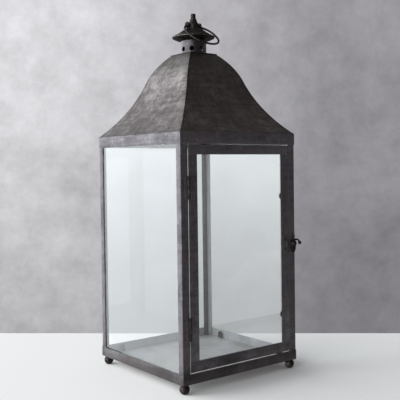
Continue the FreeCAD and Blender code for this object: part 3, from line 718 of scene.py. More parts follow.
def dull_zinc():
    """The tray: dull zinc with water stains and fine scratches."""
    material, finish = begin_finish("dull_zinc")
    tints = bpy.context.scene.lantern_colours
    place = finish.place()
    bright = (0.6, 0.6, 0.6, 1)
    stains = finish.noise(place, scale=14, detail=8, roughness=0.68, distortion=0.15)
    cells = {"Vector": place, "Scale": 70.0}
    spangle = finish.node("TexVoronoi", {"feature": "F1"}, cells, output="Color")
    scratches = finish.noise(finish.place((900, 40, 40)), scale=1, detail=2)
    stained = finish.between(stains, 0.4, 0.75) * 0.8
    base = finish.mix(stained, colour(tints.zinc), colour(tints.zinc_stain))
    base = finish.mix(0.06, base, spangle, "OVERLAY")
    base = finish.mix(finish.between(scratches, 0.66, 0.74) * 0.25, base, bright)
    bump = finish.bump(stains * 0.6 + scratches * 0.2, 0.2, 0.5 * MM)
    finish.surface(
        {
            "Base Color": base,
            "Metallic": 0.45,
            "Roughness": 0.42 + stains * 0.25,
            "Normal": bump,
        }
    )
    return material


def float_glass():
    """Float glass, faintly green, which lets light through to the inside."""
    material, finish = begin_finish("float_glass")
    tints = bpy.context.scene.lantern_colours
    glass = finish.node(
        "BsdfPrincipled",
        None,
        {
            "Base Color": colour(tints.glass),
            "Roughness": 0.0,
            "IOR": 1.5,
            "Transmission Weight": 1.0,
        },
    )
    clear = finish.node("BsdfTransparent", None, {"Color": (0.92, 0.93, 0.935, 1)})
    shadow = finish.node("LightPath", output="Is Shadow Ray")
    diffuse = finish.other(shadow, "Is Diffuse Ray")
    passing = finish.node("Math", {"operation": "MAXIMUM"}, {0: shadow, 1: diffuse})
    shader = finish.node("MixShader", None, {0: passing, 1: glass, 2: clear})
    finish.node("OutputMaterial", None, {"Surface": shader})
    return material


FINISHES = {
    "aged_sheet": aged_sheet,
    "roof_sheet": roof_sheet,
    "vent_sheet": vent_sheet,
    "dark_iron": dark_iron,
    "drawn_wire": drawn_wire,
    "plate_iron": plate_iron,
    "smoked_sheet": smoked_sheet,
    "dull_zinc": dull_zinc,
    "float_glass": float_glass,
}


def finish_named(name):
    return bpy.data.materials.get(name) or FINISHES[name]()


# Tray and feet
class LANTERN_OT_tray(bpy.types.Operator):
    """Makes the tray, pressed slightly hollow"""

    bl_idname = "lantern.tray"
    bl_label = "Tray"

    def execute(self, context):
        border, slope, hollow = 16 * MM, 2.5 * MM, 0.45 * MM
        tray = block(*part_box("base_tray"))
        mark("FACE", lambda face: face.normal.z > 0.9)
        bpy.ops.mesh.inset(thickness=border, depth=0)
        bpy.ops.mesh.inset(thickness=slope, depth=-hollow)
        round_edges(context.scene.lantern_sizes.edge_round)
        complete(tray, ["base_tray"], "dull_zinc")
        return {"FINISHED"}


class LANTERN_OT_foot_screws(bpy.types.Operator):
    """Makes the slotted screws that hold the feet"""

    bl_idname = "lantern.foot_screws"
    bl_label = "Foot screws"

    def execute(self, context):
        shank, head, brim = 2.0 * MM, 3.0 * MM, 0.5 * MM
        slot_half, slot_depth = 0.35 * MM, 0.6 * MM
        low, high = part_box("foot_screws")
        top, place = high.z, high.x - head
        dome = bow((head, TRAY_Z + brim), (head * 0.6, top - 0.25 * MM), (0, top), 6)
        profile = [(0, low.z), (shank, low.z), (shank, TRAY_Z), (head, TRAY_Z)] + dome
        screws = []
        for sx, sy in CORNERS.values():
            x, y = sx * place, sy * place
            screw = moved(turn(profile, SMALL_STEPS), move_by=(x, y, 0))
            slot = block(
                (x - head, y - slot_half, top - slot_depth),
                (x + head, y + slot_half, top + head),
            )
            screws.append(combine(screw, slot, "DIFFERENCE"))
        complete(join(screws), ["foot_screws"], "dark_iron")
        return {"FINISHED"}


class LANTERN_OT_feet(bpy.types.Operator):
    """Makes the four ball feet, flat under the tray and on the ground"""

    bl_idname = "lantern.feet"
    bl_label = "Feet"

    def execute(self, context):
        flat_round = 0.4 * MM
        for corner in CORNERS:
            node = "foot_" + corner
            low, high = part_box(node)
            centre = (low + high) / 2
            radius = (high.x - low.x) / 2
            flats = (low.z, high.z)
            ball = begin("uv_sphere", segments=40, ring_count=24, radius=radius, location=centre)
            for level, direction in zip(flats, (-1, 1)):
                cut((0, 0, level), (0, 0, direction))
            face_outwards()
            round_edges(
                flat_round,
                lambda edge: any(abs(middle(edge).z - level) < WELD for level in flats),
            )
            complete(ball, [node], "dark_iron")
        return {"FINISHED"}


# Frame
def strip_outline(fold):
    """The front strip seen from above: mitred, with folded outer corners."""
    centre = SKIN - fold
    steps = 4
    outline = []
    for side, start in ((-1, 225), (1, 270)):
        for step in range(steps + 1):
            angle = math.radians(start + 45 * step / steps)
            outline.append(on_circle(side * centre, -centre, fold, angle))
    return outline + [(HALF, -HALF), (-HALF, -HALF)]


class LANTERN_OT_strips(bpy.types.Operator):
    """Makes the bottom rails and the bands under the eaves"""

    bl_idname = "lantern.strips"
    bl_label = "Rails and bands"

    def execute(self, context):
        sizes = context.scene.lantern_sizes
        outline = strip_outline(sizes.fold_round)
        outside = -HALF - 0.5 * MM
        levels = {"bottom_rail_": (BASE_Z, RAIL_TOP_Z), "top_band_": (BAND_Z, EAVE_Z)}
        for name, (low, high) in levels.items():
            strip = slab([(x, y, low) for x, y in outline], (0, 0, high - low))
            round_edges(
                sizes.edge_round,
                lambda edge: runs_across(edge, Z) and sharp(edge) and middle(edge).y < outside,
            )
            clear_bench()
            for side in SIDES:
                piece = copied(strip, side_turn(side))
                complete(piece, [name + side], "aged_sheet")
                line_faces(piece, "dull_zinc", looks_inward)
            discard(strip)
        return {"FINISHED"}


class LANTERN_OT_rail_rivets(bpy.types.Operator):
    """Makes the domed rivets at the rails' ends"""

    bl_idname = "lantern.rail_rivets"
    bl_label = "Rail rivets"

    def execute(self, context):
        shank, depth, head = 1.2 * MM, 2 * MM, 2.1 * MM
        inset = HALF - 8.3 * MM
        low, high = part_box("rail_rivets")
        level = (low.z + high.z) / 2
        pattern = rivet(shank, depth, head, high.x - SKIN, 6)
        rivets = []
        for side in SIDES:
            for x in (-inset, inset):
                one = copied(pattern, move_by=(x, -SKIN, level))
                rivets.append(moved(one, turn_by=side_turn(side)))
        discard(pattern)
        complete(join(rivets), ["rail_rivets"], "aged_sheet")
        return {"FINISHED"}


class LANTERN_OT_posts(bpy.types.Operator):
    """Makes the four corner angles, folded from sheet"""

    bl_idname = "lantern.posts"
    bl_label = "Corner posts"

    def execute(self, context):
        sizes = context.scene.lantern_sizes
        sheet = 1.2 * MM
        inner = HALF - sheet
        fold, fold_steps = sizes.fold_round, 5
        for corner, (sx, sy) in CORNERS.items():
            node = "corner_post_" + corner
            low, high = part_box(node)
            front = HALF - (high.x - low.x)
            side = HALF - (high.y - low.y)
            outline = [(inner, inner), (front, inner), (front, HALF)]
            for step in range(fold_steps + 1):
                angle = QUARTER * (1 - step / fold_steps)
                outline.append(on_circle(HALF - fold, HALF - fold, fold, angle))
            outline += [(HALF, side), (inner, side)]
            post = slab([(sx * x, sy * y, low.z) for x, y in outline], (0, 0, high.z - low.z))
            round_edges(sizes.edge_round, lambda edge: runs_along(edge, Z) and sharp(edge))
            complete(post, [node], "aged_sheet")
            if sy < 0:
                # The front posts' inner faces take painted shade, so that the gap beside the door shows dark
                line_faces(post, "smoked_sheet", looks_inward)
            else:
                # Back posts: bare zinc inside, only on the side flanges, whose pale colour is partly painted light
                line_faces(post, "dull_zinc", lambda face: looks_inward(face, (X,)))
        return {"FINISHED"}


# Panes
GLAZED = ("right", "back", "left")


def make_pane(node):
    """A pane with ground edges."""
    pane = block(*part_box(node))
    round_edges(bpy.context.scene.lantern_sizes.arris, segments=1)
    complete(pane, [node], "float_glass")


class LANTERN_OT_fixed_panes(bpy.types.Operator):
    """Makes the three fixed panes"""

    bl_idname = "lantern.fixed_panes"
    bl_label = "Fixed panes"

    def execute(self, context):
        for side in GLAZED:
            make_pane("glass_" + side)
        return {"FINISHED"}


class LANTERN_OT_pane_tabs(bpy.types.Operator):
    """Makes the tabs that hold the fixed panes"""

    bl_idname = "lantern.pane_tabs"
    bl_label = "Pane tabs"

    def execute(self, context):
        sheet, half, tab_round = 1.0 * MM, 6.5 * MM, 0.25 * MM
        low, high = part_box("pane_tabs")
        offset = -low.y - half
        shoulder = high.z - half
        inner = high.x - sheet
        tabs = []
        for side in GLAZED:
            for x in (-offset, offset):
                outline = [(x - half, low.z), (x + half, low.z)]
                outline += bow((x + half, shoulder), (x, high.z), (x - half, shoulder), 16)
                tab = slab([(px, -inner, pz) for px, pz in outline], (0, -sheet, 0))
                round_edges(tab_round)
                tabs.append(moved(tab, turn_by=side_turn(side)))
        complete(join(tabs), ["pane_tabs"], "dark_iron")
        return {"FINISHED"}


# Roof
def roof_rows(sizes):
    """Points up the outside of the front panel: distance from the axis and height."""
    bend = sizes.roof_bend_angle
    knee = Vector((sizes.roof_bend_half, EAVE_Z + sizes.roof_bend_height))
    eave = Vector((SKIN, EAVE_Z))
    top = Vector((sizes.roof_top_half, ROOF_Z))

    def outward(angle):
        return Vector((math.sin(angle), math.cos(angle)))

    def angle_of(direction):
        return math.atan2(direction.x, direction.y)

    low_span, high_span = eave - knee, top - knee
    low_radius = low_span.dot(low_span) / (2 * low_span.dot(outward(bend)))
    high_radius = -high_span.dot(high_span) / (2 * high_span.dot(outward(bend)))
    low_centre = knee + outward(bend) * low_radius
    high_centre = knee - outward(bend) * high_radius
    low_angle = angle_of(low_centre - eave)
    high_angle = angle_of(top - high_centre)
    rows = []
    for step in range(sizes.roof_rows):
        angle = low_angle + (bend - low_angle) * step / sizes.roof_rows
        rows.append(low_centre - outward(angle) * low_radius)
    for step in range(sizes.roof_rows + 1):
        angle = bend + (high_angle - bend) * step / sizes.roof_rows
        rows.append(high_centre + outward(angle) * high_radius)
    return rows


class LANTERN_OT_roof_panels(bpy.types.Operator):
    """Makes the four bell-shaped panels, mitred at the hips"""

    bl_idname = "lantern.roof_panels"
    bl_label = "Roof panels"

    def execute(self, context):
        sizes = context.scene.lantern_sizes
        rows = roof_rows(sizes)
        spare = 2 * MM
        reach, height = rows[0]
        panel = trace([(-reach - spare, -reach, height), (reach + spare, -reach, height)])
        for start, end in zip(rows, rows[1:]):
            step = Vector((0, start.x - end.x, end.y - start.y))
            bpy.ops.mesh.extrude_edges_move(TRANSFORM_OT_translate={"value": step})
            narrower = (end.x + spare) / (start.x + spare)
            bpy.ops.transform.resize(value=(narrower, 1, 1), center_override=(0, -end.x, end.y))
        mark_all()
        bpy.ops.mesh.normals_make_consistent(inside=False)
        mesh = bmesh.from_edit_mesh(panel.data)
        if sum(face.normal.y for face in mesh.faces) > 0:
            bpy.ops.mesh.flip_normals()
        clear_bench()
        sheet = sizes.roof_sheet
        apply_modifier(panel, "SOLIDIFY", thickness=sheet, offset=-1, use_even_offset=True)
        edit(panel)
        for x in (-1, 1):
            cut((0, 0, 0), (x, 1, 0))
        for level, direction in ((EAVE_Z, -1), (ROOF_Z, 1)):
            cut((0, 0, level), (0, 0, direction))
        face_outwards()
        clear_bench()
        for side in SIDES:
            node = "roof_panel_" + side
            complete(copied(panel, side_turn(side)), [node], "roof_sheet")
        discard(panel)
        return {"FINISHED"}


class LANTERN_OT_roof_plate(bpy.types.Operator):
    """Makes the plate with the vent hole that closes the roof"""

    bl_idname = "lantern.roof_plate"
    bl_label = "Roof plate"

    def execute(self, context):
        vent, through = 19 * MM, 20 * MM
        low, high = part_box("roof_plate")
        plate = block(low, high)
        clear_bench()
        hole = begin("cylinder", vertices=64, radius=vent, depth=through, location=(0, 0, low.z))
        combine(plate, hole, "DIFFERENCE")
        edit(plate)
        round_edges(context.scene.lantern_sizes.edge_round)
        complete(plate, ["roof_plate"], "roof_sheet")
        return {"FINISHED"}


# Chimney
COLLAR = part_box("vent_collar")[1].x
COLLAR_BORE = COLLAR - 1.0 * MM
CAP_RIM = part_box("smoke_cap_lower")[1].x
CAP_SHEET = 1.1 * MM
CAP_SEAM = CAP_RIM - 1.4 * MM
CAP_BORE = 2.95 * MM
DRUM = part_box("finial")[1].x
LIP = 0.3 * MM


class LANTERN_OT_vent_collar(bpy.types.Operator):
    """Makes the collar with its ring of vent holes"""

    bl_idname = "lantern.vent_collar"
    bl_label = "Vent collar"

    def execute(self, context):
        vent_z = COLLAR_Z + 8.5 * MM
        profile = [
            (COLLAR_BORE, COLLAR_Z),
            (COLLAR - LIP, COLLAR_Z),
            (COLLAR, COLLAR_Z + LIP),
            (COLLAR, CAP_Z - LIP),
            (COLLAR - LIP, CAP_Z),
            (COLLAR_BORE, CAP_Z),
            (COLLAR_BORE, COLLAR_Z),
        ]
        collar = turn(profile, 96)
        for index in range(4):
            punch = begin(
                "cylinder",
                vertices=32,
                radius=context.scene.lantern_sizes.vent_radius,
                depth=4 * COLLAR,
                location=(0, 0, vent_z),
                rotation=(QUARTER, 0, index * math.pi / 4),
            )
            combine(collar, punch, "DIFFERENCE")
        complete(collar, ["vent_collar"], "vent_sheet")
        return {"FINISHED"}


class LANTERN_OT_smoke_cap(bpy.types.Operator):
    """Makes the two halves of the saucer-shaped smoke cap"""

    bl_idname = "lantern.smoke_cap"
    bl_label = "Smoke cap"

    def lower_half(self):
        seat = COLLAR_BORE - 2 * MM
        brim_z = CAP_Z + 5.8 * MM
        flare = bow(
            (COLLAR + 0.8 * MM, CAP_Z + 0.2 * MM),
            (31 * MM, CAP_Z + 2.5 * MM),
            (CAP_RIM - LIP, brim_z),
            8,
        )
        profile = [
            (seat, CAP_Z),
            (COLLAR - LIP, CAP_Z),
            *flare,
            (CAP_RIM, brim_z + LIP),
            (CAP_RIM, SEAM_Z),
            (CAP_SEAM, SEAM_Z),
            (COLLAR_BORE, CAP_Z + CAP_SHEET),
            (seat, CAP_Z + CAP_SHEET),
            (seat, CAP_Z),
        ]
        complete(turn(profile), ["smoke_cap_lower"], "dark_iron")

    def upper_half(self):
        brim_z = SEAM_Z + 1.2 * MM
        ring, ring_step, ridge = 33.5 * MM, 1.2 * MM, 0.35 * MM
        hollow = bow(
            (CAP_RIM - 2.4 * MM, brim_z + 0.5 * MM),
            (26 * MM, brim_z + 6.6 * MM),
            (15 * MM, FINIAL_Z),
            16,
        )
        bead = [(radius, height) for radius, height in hollow if radius < ring]
        ridges = [ridge * abs(index % 4 - 2) for index in range(len(bead) - 1)] + [0]
        bead = [(radius, height + rise) for (radius, height), rise in zip(bead, ridges)]
        inside = [(radius, height - CAP_SHEET) for radius, height in hollow]
        profile = [
            (CAP_BORE, FINIAL_Z),
            *reversed(bead),
            (ring, bead[0][1] + 0.1 * MM),
            (ring + 0.5 * MM, bead[0][1] - ring_step),
            (CAP_RIM - LIP, brim_z),
            (CAP_RIM, brim_z - LIP),
            (CAP_RIM, SEAM_Z),
            (CAP_SEAM, SEAM_Z),
            *inside,
            (CAP_BORE, FINIAL_Z - CAP_SHEET),
            (CAP_BORE, FINIAL_Z),
        ]
        complete(turn(profile), ["smoke_cap_upper"], "dark_iron")

    def execute(self, context):
        self.lower_half()
        self.upper_half()
        return {"FINISHED"}


class LANTERN_OT_finial(bpy.types.Operator):
    """Turns the finial: a drum, a bell and a neck with a round crown"""

    bl_idname = "lantern.finial"
    bl_label = "Finial"

    def execute(self, context):
        edge, neck, shoulder = 0.4 * MM, 4.5 * MM, 5.7 * MM
        drum_z = BAIL_PIN.z + 2.1 * MM
        shoulder_z = drum_z + 9.2 * MM
        bell = bow((DRUM, drum_z), (7.5 * MM, drum_z + 4.2 * MM), (shoulder, shoulder_z), 10)
        crown = bow(
            (neck, FINIAL_TOP_Z - 1.2 * MM),
            (neck - 0.4 * MM, FINIAL_TOP_Z - 0.4 * MM),
            (3.3 * MM, FINIAL_TOP_Z),
            4,
        )
        profile = [
            (0, FINIAL_Z),
            (DRUM - edge, FINIAL_Z),
            (DRUM, FINIAL_Z + edge),
            *bell,
            (shoulder + 0.05 * MM, shoulder_z + 0.5 * MM),
            (neck + 0.3 * MM, shoulder_z + 1.3 * MM),
            (neck, shoulder_z + 2 * MM),
            *crown,
            (0, FINIAL_TOP_Z),
        ]
        complete(turn(profile), ["finial"], "dark_iron")
        return {"FINISHED"}


class LANTERN_OT_bail_studs(bpy.types.Operator):
    """Makes the headed studs that carry the bail"""

    bl_idname = "lantern.bail_studs"
    bl_label = "Bail studs"

    def execute(self, context):
        shank, head, root = 1.6 * MM, 2.5 * MM, DRUM - 5 * MM
        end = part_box("bail_studs")[1].x
        seat = end - 1.2 * MM
        profile = [(0, root), (shank, root), (shank, seat), (head, seat)]
        profile += bow((head, seat + 0.4 * MM), (1.7 * MM, end - 0.25 * MM), (0, end), 6)
        stud = turn(profile, SMALL_STEPS)
        studs = [copied(stud, (0, side * QUARTER, 0), BAIL_PIN) for side in (-1, 1)]
        discard(stud)
        complete(join(studs), ["bail_studs"], "dark_iron")
        return {"FINISHED"}


class LANTERN_OT_bail(bpy.types.Operator):
    """Bends the bail from round wire, with an eye at each end"""

    bl_idname = "lantern.bail"
    bl_label = "Bail"

    def execute(self, context):
        sizes = context.scene.lantern_sizes
        eye, eye_wire, eye_x = 3.9 * MM, 1.95 * MM, 14.15 * MM
        half, length = 31.7 * MM, 65 * MM
        heading = math.radians(15)
        upright = (0, 0, 1)
        shoulder_turn = heading - QUARTER
        bend = (half - eye_x) / (1 - math.sin(heading))
        bend_x = eye_x - bend * math.sin(heading)
        bend_y = eye + bend * math.cos(heading)
        straight = length - half - bend_y
        loop = begin(
            "circle",
            vertices=20,
            radius=sizes.wire_radius,
            fill_type="NOTHING",
            location=(-eye_x, -eye, 0),
            rotation=(QUARTER, 0, shoulder_turn),
        )
        bpy.ops.mesh.edge_face_add()
        bpy.ops.mesh.spin(steps=10, angle=shoulder_turn, center=(-bend_x, -bend_y, 0), axis=upright)
        push((0, -straight, 0))
        bpy.ops.mesh.spin(steps=40, angle=-math.pi, center=(0, half - length, 0), axis=upright)
        push((0, straight, 0))
        bpy.ops.mesh.spin(steps=10, angle=shoulder_turn, center=(bend_x, -bend_y, 0), axis=upright)
        face_outwards()
        for x in (-eye_x, eye_x):
            clear_bench()
            bpy.ops.mesh.primitive_torus_add(
                major_segments=32,
                minor_segments=20,
                major_radius=eye,
                minor_radius=eye_wire,
                location=(x, 0, 0),
                rotation=(0, QUARTER, 0),
            )
            set_in_place()
            combine(loop, bpy.context.object, "UNION")
        moved(loop, (sizes.bail_droop, 0, 0), BAIL_PIN)
        complete(loop, ["bail_handle"], "drawn_wire", WIRE_SMOOTH_ANGLE)
        return {"FINISHED"}


# Door
class LANTERN_OT_door_frame(bpy.types.Operator):
    """Makes the flat strips of the door's frame"""

    bl_idname = "lantern.door_frame"
    bl_label = "Door frame"

    def execute(self, context):
        # The latch stile stands a little wide, so that no light shows past it
        wider = {"door_latch_stile": Vector((0.55 * MM, 0, 0))}
        plain = Vector()
        for node in ("door_hinge_stile", "door_latch_stile", "door_top_rail", "door_bottom_rail"):
            low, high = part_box(node)
            strip = block(low, high + wider.get(node, plain))
            round_edges(context.scene.lantern_sizes.edge_round)
            complete(strip, [node], "aged_sheet")
        return {"FINISHED"}


class LANTERN_OT_door_glass(bpy.types.Operator):
    """Makes the door's glass"""

    bl_idname = "lantern.door_glass"
    bl_label = "Door glass"

    def execute(self, context):
        make_pane("door_glass")
        return {"FINISHED"}


class LANTERN_OT_door_clips(bpy.types.Operator):
    """Makes the round clips that hold the door's glass"""

    bl_idname = "lantern.door_clips"
    bl_label = "Door clips"

    def execute(self, context):
        radius, sheet, chamfer = 6 * MM, 1.0 * MM, 0.35 * MM
        dimple, dimple_z = 1.8 * MM, 0.75 * MM
        low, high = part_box("door_clips")
        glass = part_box("door_glass")[1]
        centre = high.x - radius
        glass_edge = glass.x + 0.5 * MM
        depth = glass.y - DOOR_BACK_Y + 0.5 * MM
        profile = [
            (0, 0),
            (radius, 0),
            (radius, 0.6 * MM),
            (radius - chamfer, sheet),
            (2.2 * MM, sheet),
            (dimple, dimple_z),
            (0, dimple_z),
        ]
        clips = []
        for level in (low.z + radius, high.z - radius):
            clip = moved(turn(profile, 32), (-QUARTER, 0, 0), (centre, glass.y, level))
            foot = begin(
                "cylinder",
                vertices=32,
                radius=radius - 0.1 * MM,
                depth=depth,
                location=(centre, DOOR_BACK_Y + depth / 2, level),
                rotation=(QUARTER, 0, 0),
            )
            cut((glass_edge, 0, 0), (-1, 0, 0))
            face_outwards()
            combine(clip, foot, "UNION")
            clips.append(clip)
            clips.append(copied(clip, (0, math.pi, 0), (0, 0, 2 * level)))
        complete(join(clips), ["door_clips"], "dark_iron")
        return {"FINISHED"}


# Hinges
class LANTERN_OT_hinges(bpy.types.Operator):
    """Makes the two butt hinges: leaves with rolled knuckles, and a pin through them"""

    bl_idname = "lantern.hinges"
    bl_label = "Hinges"

    def leaf(self, node, first, far, level, height):
        """One leaf, with every other knuckle from the first one up."""
        knuckles, knuckle, bore = 5, 1.8 * MM, 0.95 * MM
        sheet, gap, overlap = 1.0 * MM, 0.3 * MM, 0.5 * MM
        leaf_round, roll_round = 0.25 * MM, 0.2 * MM
        x, y = HINGE_AXIS.x, HINGE_AXIS.y
        side = 1 if far > x else -1
        near = x + side * (knuckle + gap)
        bottom = level - height / 2
        pitch = height / knuckles
        tall = pitch - gap
        left, right = sorted((near, far))
        leaf = block((left, FACE_Y - sheet, bottom), (right, FACE_Y, bottom + height))
        round_edges(leaf_round)
        left, right = sorted((x, near + side * overlap))
        for index in range(first, knuckles, 2):
            low = bottom + index * pitch + gap / 2
            place = (x, y, low + tall / 2)
            roll = begin("cylinder", vertices=28, radius=knuckle, depth=tall, location=place)
            round_edges(roll_round, lambda edge: sharp(edge) and runs_across(edge, Z))
            web = block(
                (left, FACE_Y - sheet, low + 0.01 * MM),
                (right, FACE_Y - 0.02 * MM, low + tall - 0.01 * MM),
            )
            combine(roll, web, "UNION")
            combine(leaf, roll, "UNION")
        place = (x, y, level)
        drill = begin("cylinder", vertices=20, radius=bore, depth=2 * height, location=place)
        combine(leaf, drill, "DIFFERENCE")
        complete(leaf, [node], "aged_sheet")
        # The knuckles take near-black iron as painted shade, for the dark slot beside the door
        reach = knuckle + 0.1 * MM
        line_faces(leaf, "dark_iron", lambda face: (face.center.xy - HINGE_AXIS.xy).length < reach)

    def pin(self, node):
        """One pin, with a round head."""
        radius, head, chamfer = 0.9 * MM, 1.5 * MM, 0.3 * MM
        low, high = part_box(node)
        neck = high.z - 0.8 * MM
        profile = [
            (0, low.z),
            (0.7 * MM, low.z),
            (radius, low.z + chamfer),
            (radius, neck),
            (head, neck),
        ]
        profile += bow((head, neck + 0.2 * MM), (head * 0.65, high.z - 0.15 * MM), (0, high.z), 5)
        pin = moved(turn(profile, 20), move_by=(HINGE_AXIS.x, HINGE_AXIS.y, 0))
        complete(pin, [node], "dark_iron")

    def execute(self, context):
        for hinge in ("upper_hinge_", "lower_hinge_"):
            post_leaf, door_leaf = hinge + "post_leaf", hinge + "door_leaf"
            low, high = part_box(post_leaf)
            level, height = (low.z + high.z) / 2, high.z - low.z
            self.leaf(post_leaf, 0, low.x, level, height)
            self.leaf(door_leaf, 1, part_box(door_leaf)[1].x, level, height)
            self.pin(hinge + "pin")
        return {"FINISHED"}


class LANTERN_OT_hinge_rivets(bpy.types.Operator):
    """Makes the domed rivets in the hinges' leaves"""

    bl_idname = "lantern.hinge_rivets"
    bl_label = "Hinge rivets"

    def execute(self, context):
        shank, depth, head, rise = 1.0 * MM, 1.5 * MM, 1.8 * MM, 0.6 * MM
        spacing = 24 * MM
        for node in ("hinge_post_rivets", "hinge_door_rivets"):
            low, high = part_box(node)
            x = (low.x + high.x) / 2
            bottom, top = low.z + head, high.z - head
            pattern = rivet(shank, depth, head, rise, 5)
            rivets = [
                copied(pattern, move_by=(x, low.y + rise, level))
                for level in (bottom, bottom + spacing, top - spacing, top)
            ]
            discard(pattern)
            complete(join(rivets), [node], "aged_sheet")
        return {"FINISHED"}


# Latch
PLATE_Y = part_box("latch_plate")[0].y
LEVER_BACK_Y = PLATE_Y - 1.6 * MM
LEVER_SHEET = 2.5 * MM
LATCH_ROUND = 0.35 * MM


class LANTERN_OT_latch_plate(bpy.types.Operator):
    """Makes the round-ended plate on the post"""

    bl_idname = "lantern.latch_plate"
    bl_label = "Latch plate"

    def execute(self, context):
        x = LATCH_AXIS.x
        low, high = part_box("latch_plate")
        half = (high.x - low.x) / 2
        top, bottom = high.z - half, low.z + half
        outline = bow((x + half, top), (x, high.z), (x - half, top), 16)
        outline += bow((x - half, bottom), (x, low.z), (x + half, bottom), 16)
        plate = slab([(px, high.y, pz) for px, pz in outline], (0, low.y - high.y, 0))
        round_edges(LATCH_ROUND)
        complete(plate, ["latch_plate"], "plate_iron")
        return {"FINISHED"}


class LANTERN_OT_latch_screws(bpy.types.Operator):
    """Makes the slotted screws of the plate and of the keeper"""

    bl_idname = "lantern.latch_screws"
    bl_label = "Latch screws"

    def execute(self, context):
        shank, depth, head, rise = 1.2 * MM, 2 * MM, 2.2 * MM, 0.8 * MM
        slot_half, slot_floor = 0.3 * MM, 0.35 * MM
        dome = bow((head, 0.15 * MM), (head * 0.6, rise * 0.85), (0, rise), 5)
        profile = [(0, -depth), (shank, -depth), (shank, 0), (head, 0)] + dome
        for node in ("latch_plate_screws", "latch_keeper_screws"):
            low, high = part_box(node)
            x = (low.x + high.x) / 2
            screws = []
            for level in (low.z + head, high.z - head):
                screw = turn(profile, SMALL_STEPS)
                slot = block((-head, -slot_half, slot_floor), (head, slot_half, 2 * rise))
                # The height stands in for chance, so each slot stops at an angle of its own
                slot_turn = level * 1000
                moved(slot, turn_by=(0, 0, slot_turn))
                combine(screw, slot, "DIFFERENCE")
                screws.append(moved(screw, (QUARTER, 0, 0), (x, low.y + rise, level)))
            complete(join(screws), [node], "dark_iron")
        return {"FINISHED"}


class LANTERN_OT_latch_pivot(bpy.types.Operator):
    """Turns the pivot with its collar and its round knob"""

    bl_idname = "lantern.latch_pivot"
    bl_label = "Latch pivot"

    def execute(self, context):
        root, shank, collar = 1.2 * MM, 2 * MM, 4.2 * MM
        knob = PLATE_Y - LEVER_BACK_Y + LEVER_SHEET + 0.1 * MM
        rise = PLATE_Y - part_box("latch_pivot")[0].y
        profile = [
            (0, -root),
            (shank, -root),
            (shank, 0),
            (collar, 0),
            (collar, 1.4 * MM),
            (shank, 1.5 * MM),
            (shank, knob),
            (collar - 0.2 * MM, knob),
        ]
        profile += bow((collar, knob + 0.3 * MM), (3.1 * MM, rise - 0.9 * MM), (0, rise), 8)
        place = (LATCH_AXIS.x, PLATE_Y, LATCH_AXIS.z)
        pivot = moved(turn(profile, 40), (QUARTER, 0, 0), place)
        complete(pivot, ["latch_pivot"], "dark_iron")
        return {"FINISHED"}


class LANTERN_OT_latch_lever(bpy.types.Operator):
    """Makes the lever: disc, drop-shaped tail and curved arm with a ball"""

    bl_idname = "lantern.latch_lever"
    bl_label = "Latch lever"

    def tail(self, lever, x, z, disc, rounding):
        """The drop-shaped tail below the disc, with the round hole in it."""
        root, bulge, tip = 4.8 * MM, 4.0 * MM, -16.5 * MM
        hole, through = 1.8 * MM, 20 * MM
        clear = 0.02 * MM
        root_z = -math.sqrt(disc * disc - root * root)
        mid = (root_z + tip) / 2
        outline = bow((-root, root_z), (-bulge, mid), (0, tip), 10)
        outline += bow((0, tip), (bulge, mid), (root, root_z), 10)[1:]
        points = [(x + px, LEVER_BACK_Y - clear, z + pz) for px, pz in outline]
        tail = slab(points, (0, 2 * clear - LEVER_SHEET, 0))
        round_edges(rounding, lambda edge: sharp(edge) and runs_across(edge, Y))
        combine(lever, tail, "UNION")
        drill = begin(
            "cylinder",
            vertices=24,
            radius=hole,
            depth=through,
            location=(x, LEVER_BACK_Y, z + mid),
            rotation=(QUARTER, 0, 0),
        )
        combine(lever, drill, "DIFFERENCE")

    def arm(self, lever, x, z, disc):
        """The curved arm that leans forwards to its ball."""
        wire, ball = 1.6 * MM, 3.2 * MM
        arm_y = LEVER_BACK_Y - 1.25 * MM
        ball_y = LEVER_BACK_Y - 3.2 * MM
        start, knee, end = (0, disc - 1.6 * MM), (6.0 * MM, 7.4 * MM), (14 * MM, 1.0 * MM)
        centre_x, centre_z, _, first, sweep = arc_of(start, knee, end)
        arm = begin(
            "circle",
            vertices=20,
            radius=wire,
            fill_type="NOTHING",
            location=(start[0], 0, start[1]),
            rotation=(0, -first, 0),
        )
        bpy.ops.mesh.edge_face_add()
        bpy.ops.mesh.spin(steps=16, angle=sweep, center=(centre_x, 0, centre_z), axis=(0, 1, 0))
        face_outwards()
        lean = math.asin((arm_y - ball_y) / end[0])
        moved(arm, (0, 0, -lean), (x, arm_y, z))
        combine(lever, arm, "UNION")
        place = (x + end[0] * math.cos(lean), ball_y, z + end[1])
        knob = begin("uv_sphere", segments=32, ring_count=20, radius=ball, location=place)
        combine(lever, knob, "UNION")

    def execute(self, context):
        x, z = LATCH_AXIS.x, LATCH_AXIS.z
        disc, bore, rounding = 7.0 * MM, 2.05 * MM, 0.4 * MM
        groove_z = 2.0 * MM
        profile = [
            (bore, 0),
            (disc - rounding, 0),
            (disc, rounding),
            (disc, LEVER_SHEET - rounding),
            (disc - rounding, LEVER_SHEET),
            (disc - 1.1 * MM, LEVER_SHEET),
            (disc - 1.5 * MM, groove_z),
            (disc - 1.9 * MM, groove_z),
            (disc - 2.3 * MM, LEVER_SHEET),
            (bore, LEVER_SHEET),
            (bore, 0),
        ]
        lever = moved(turn(profile, 48), (QUARTER, 0, 0), (x, LEVER_BACK_Y, z))
        self.tail(lever, x, z, disc, rounding)
        self.arm(lever, x, z, disc)
        complete(lever, ["latch_lever"], "dark_iron")
        return {"FINISHED"}


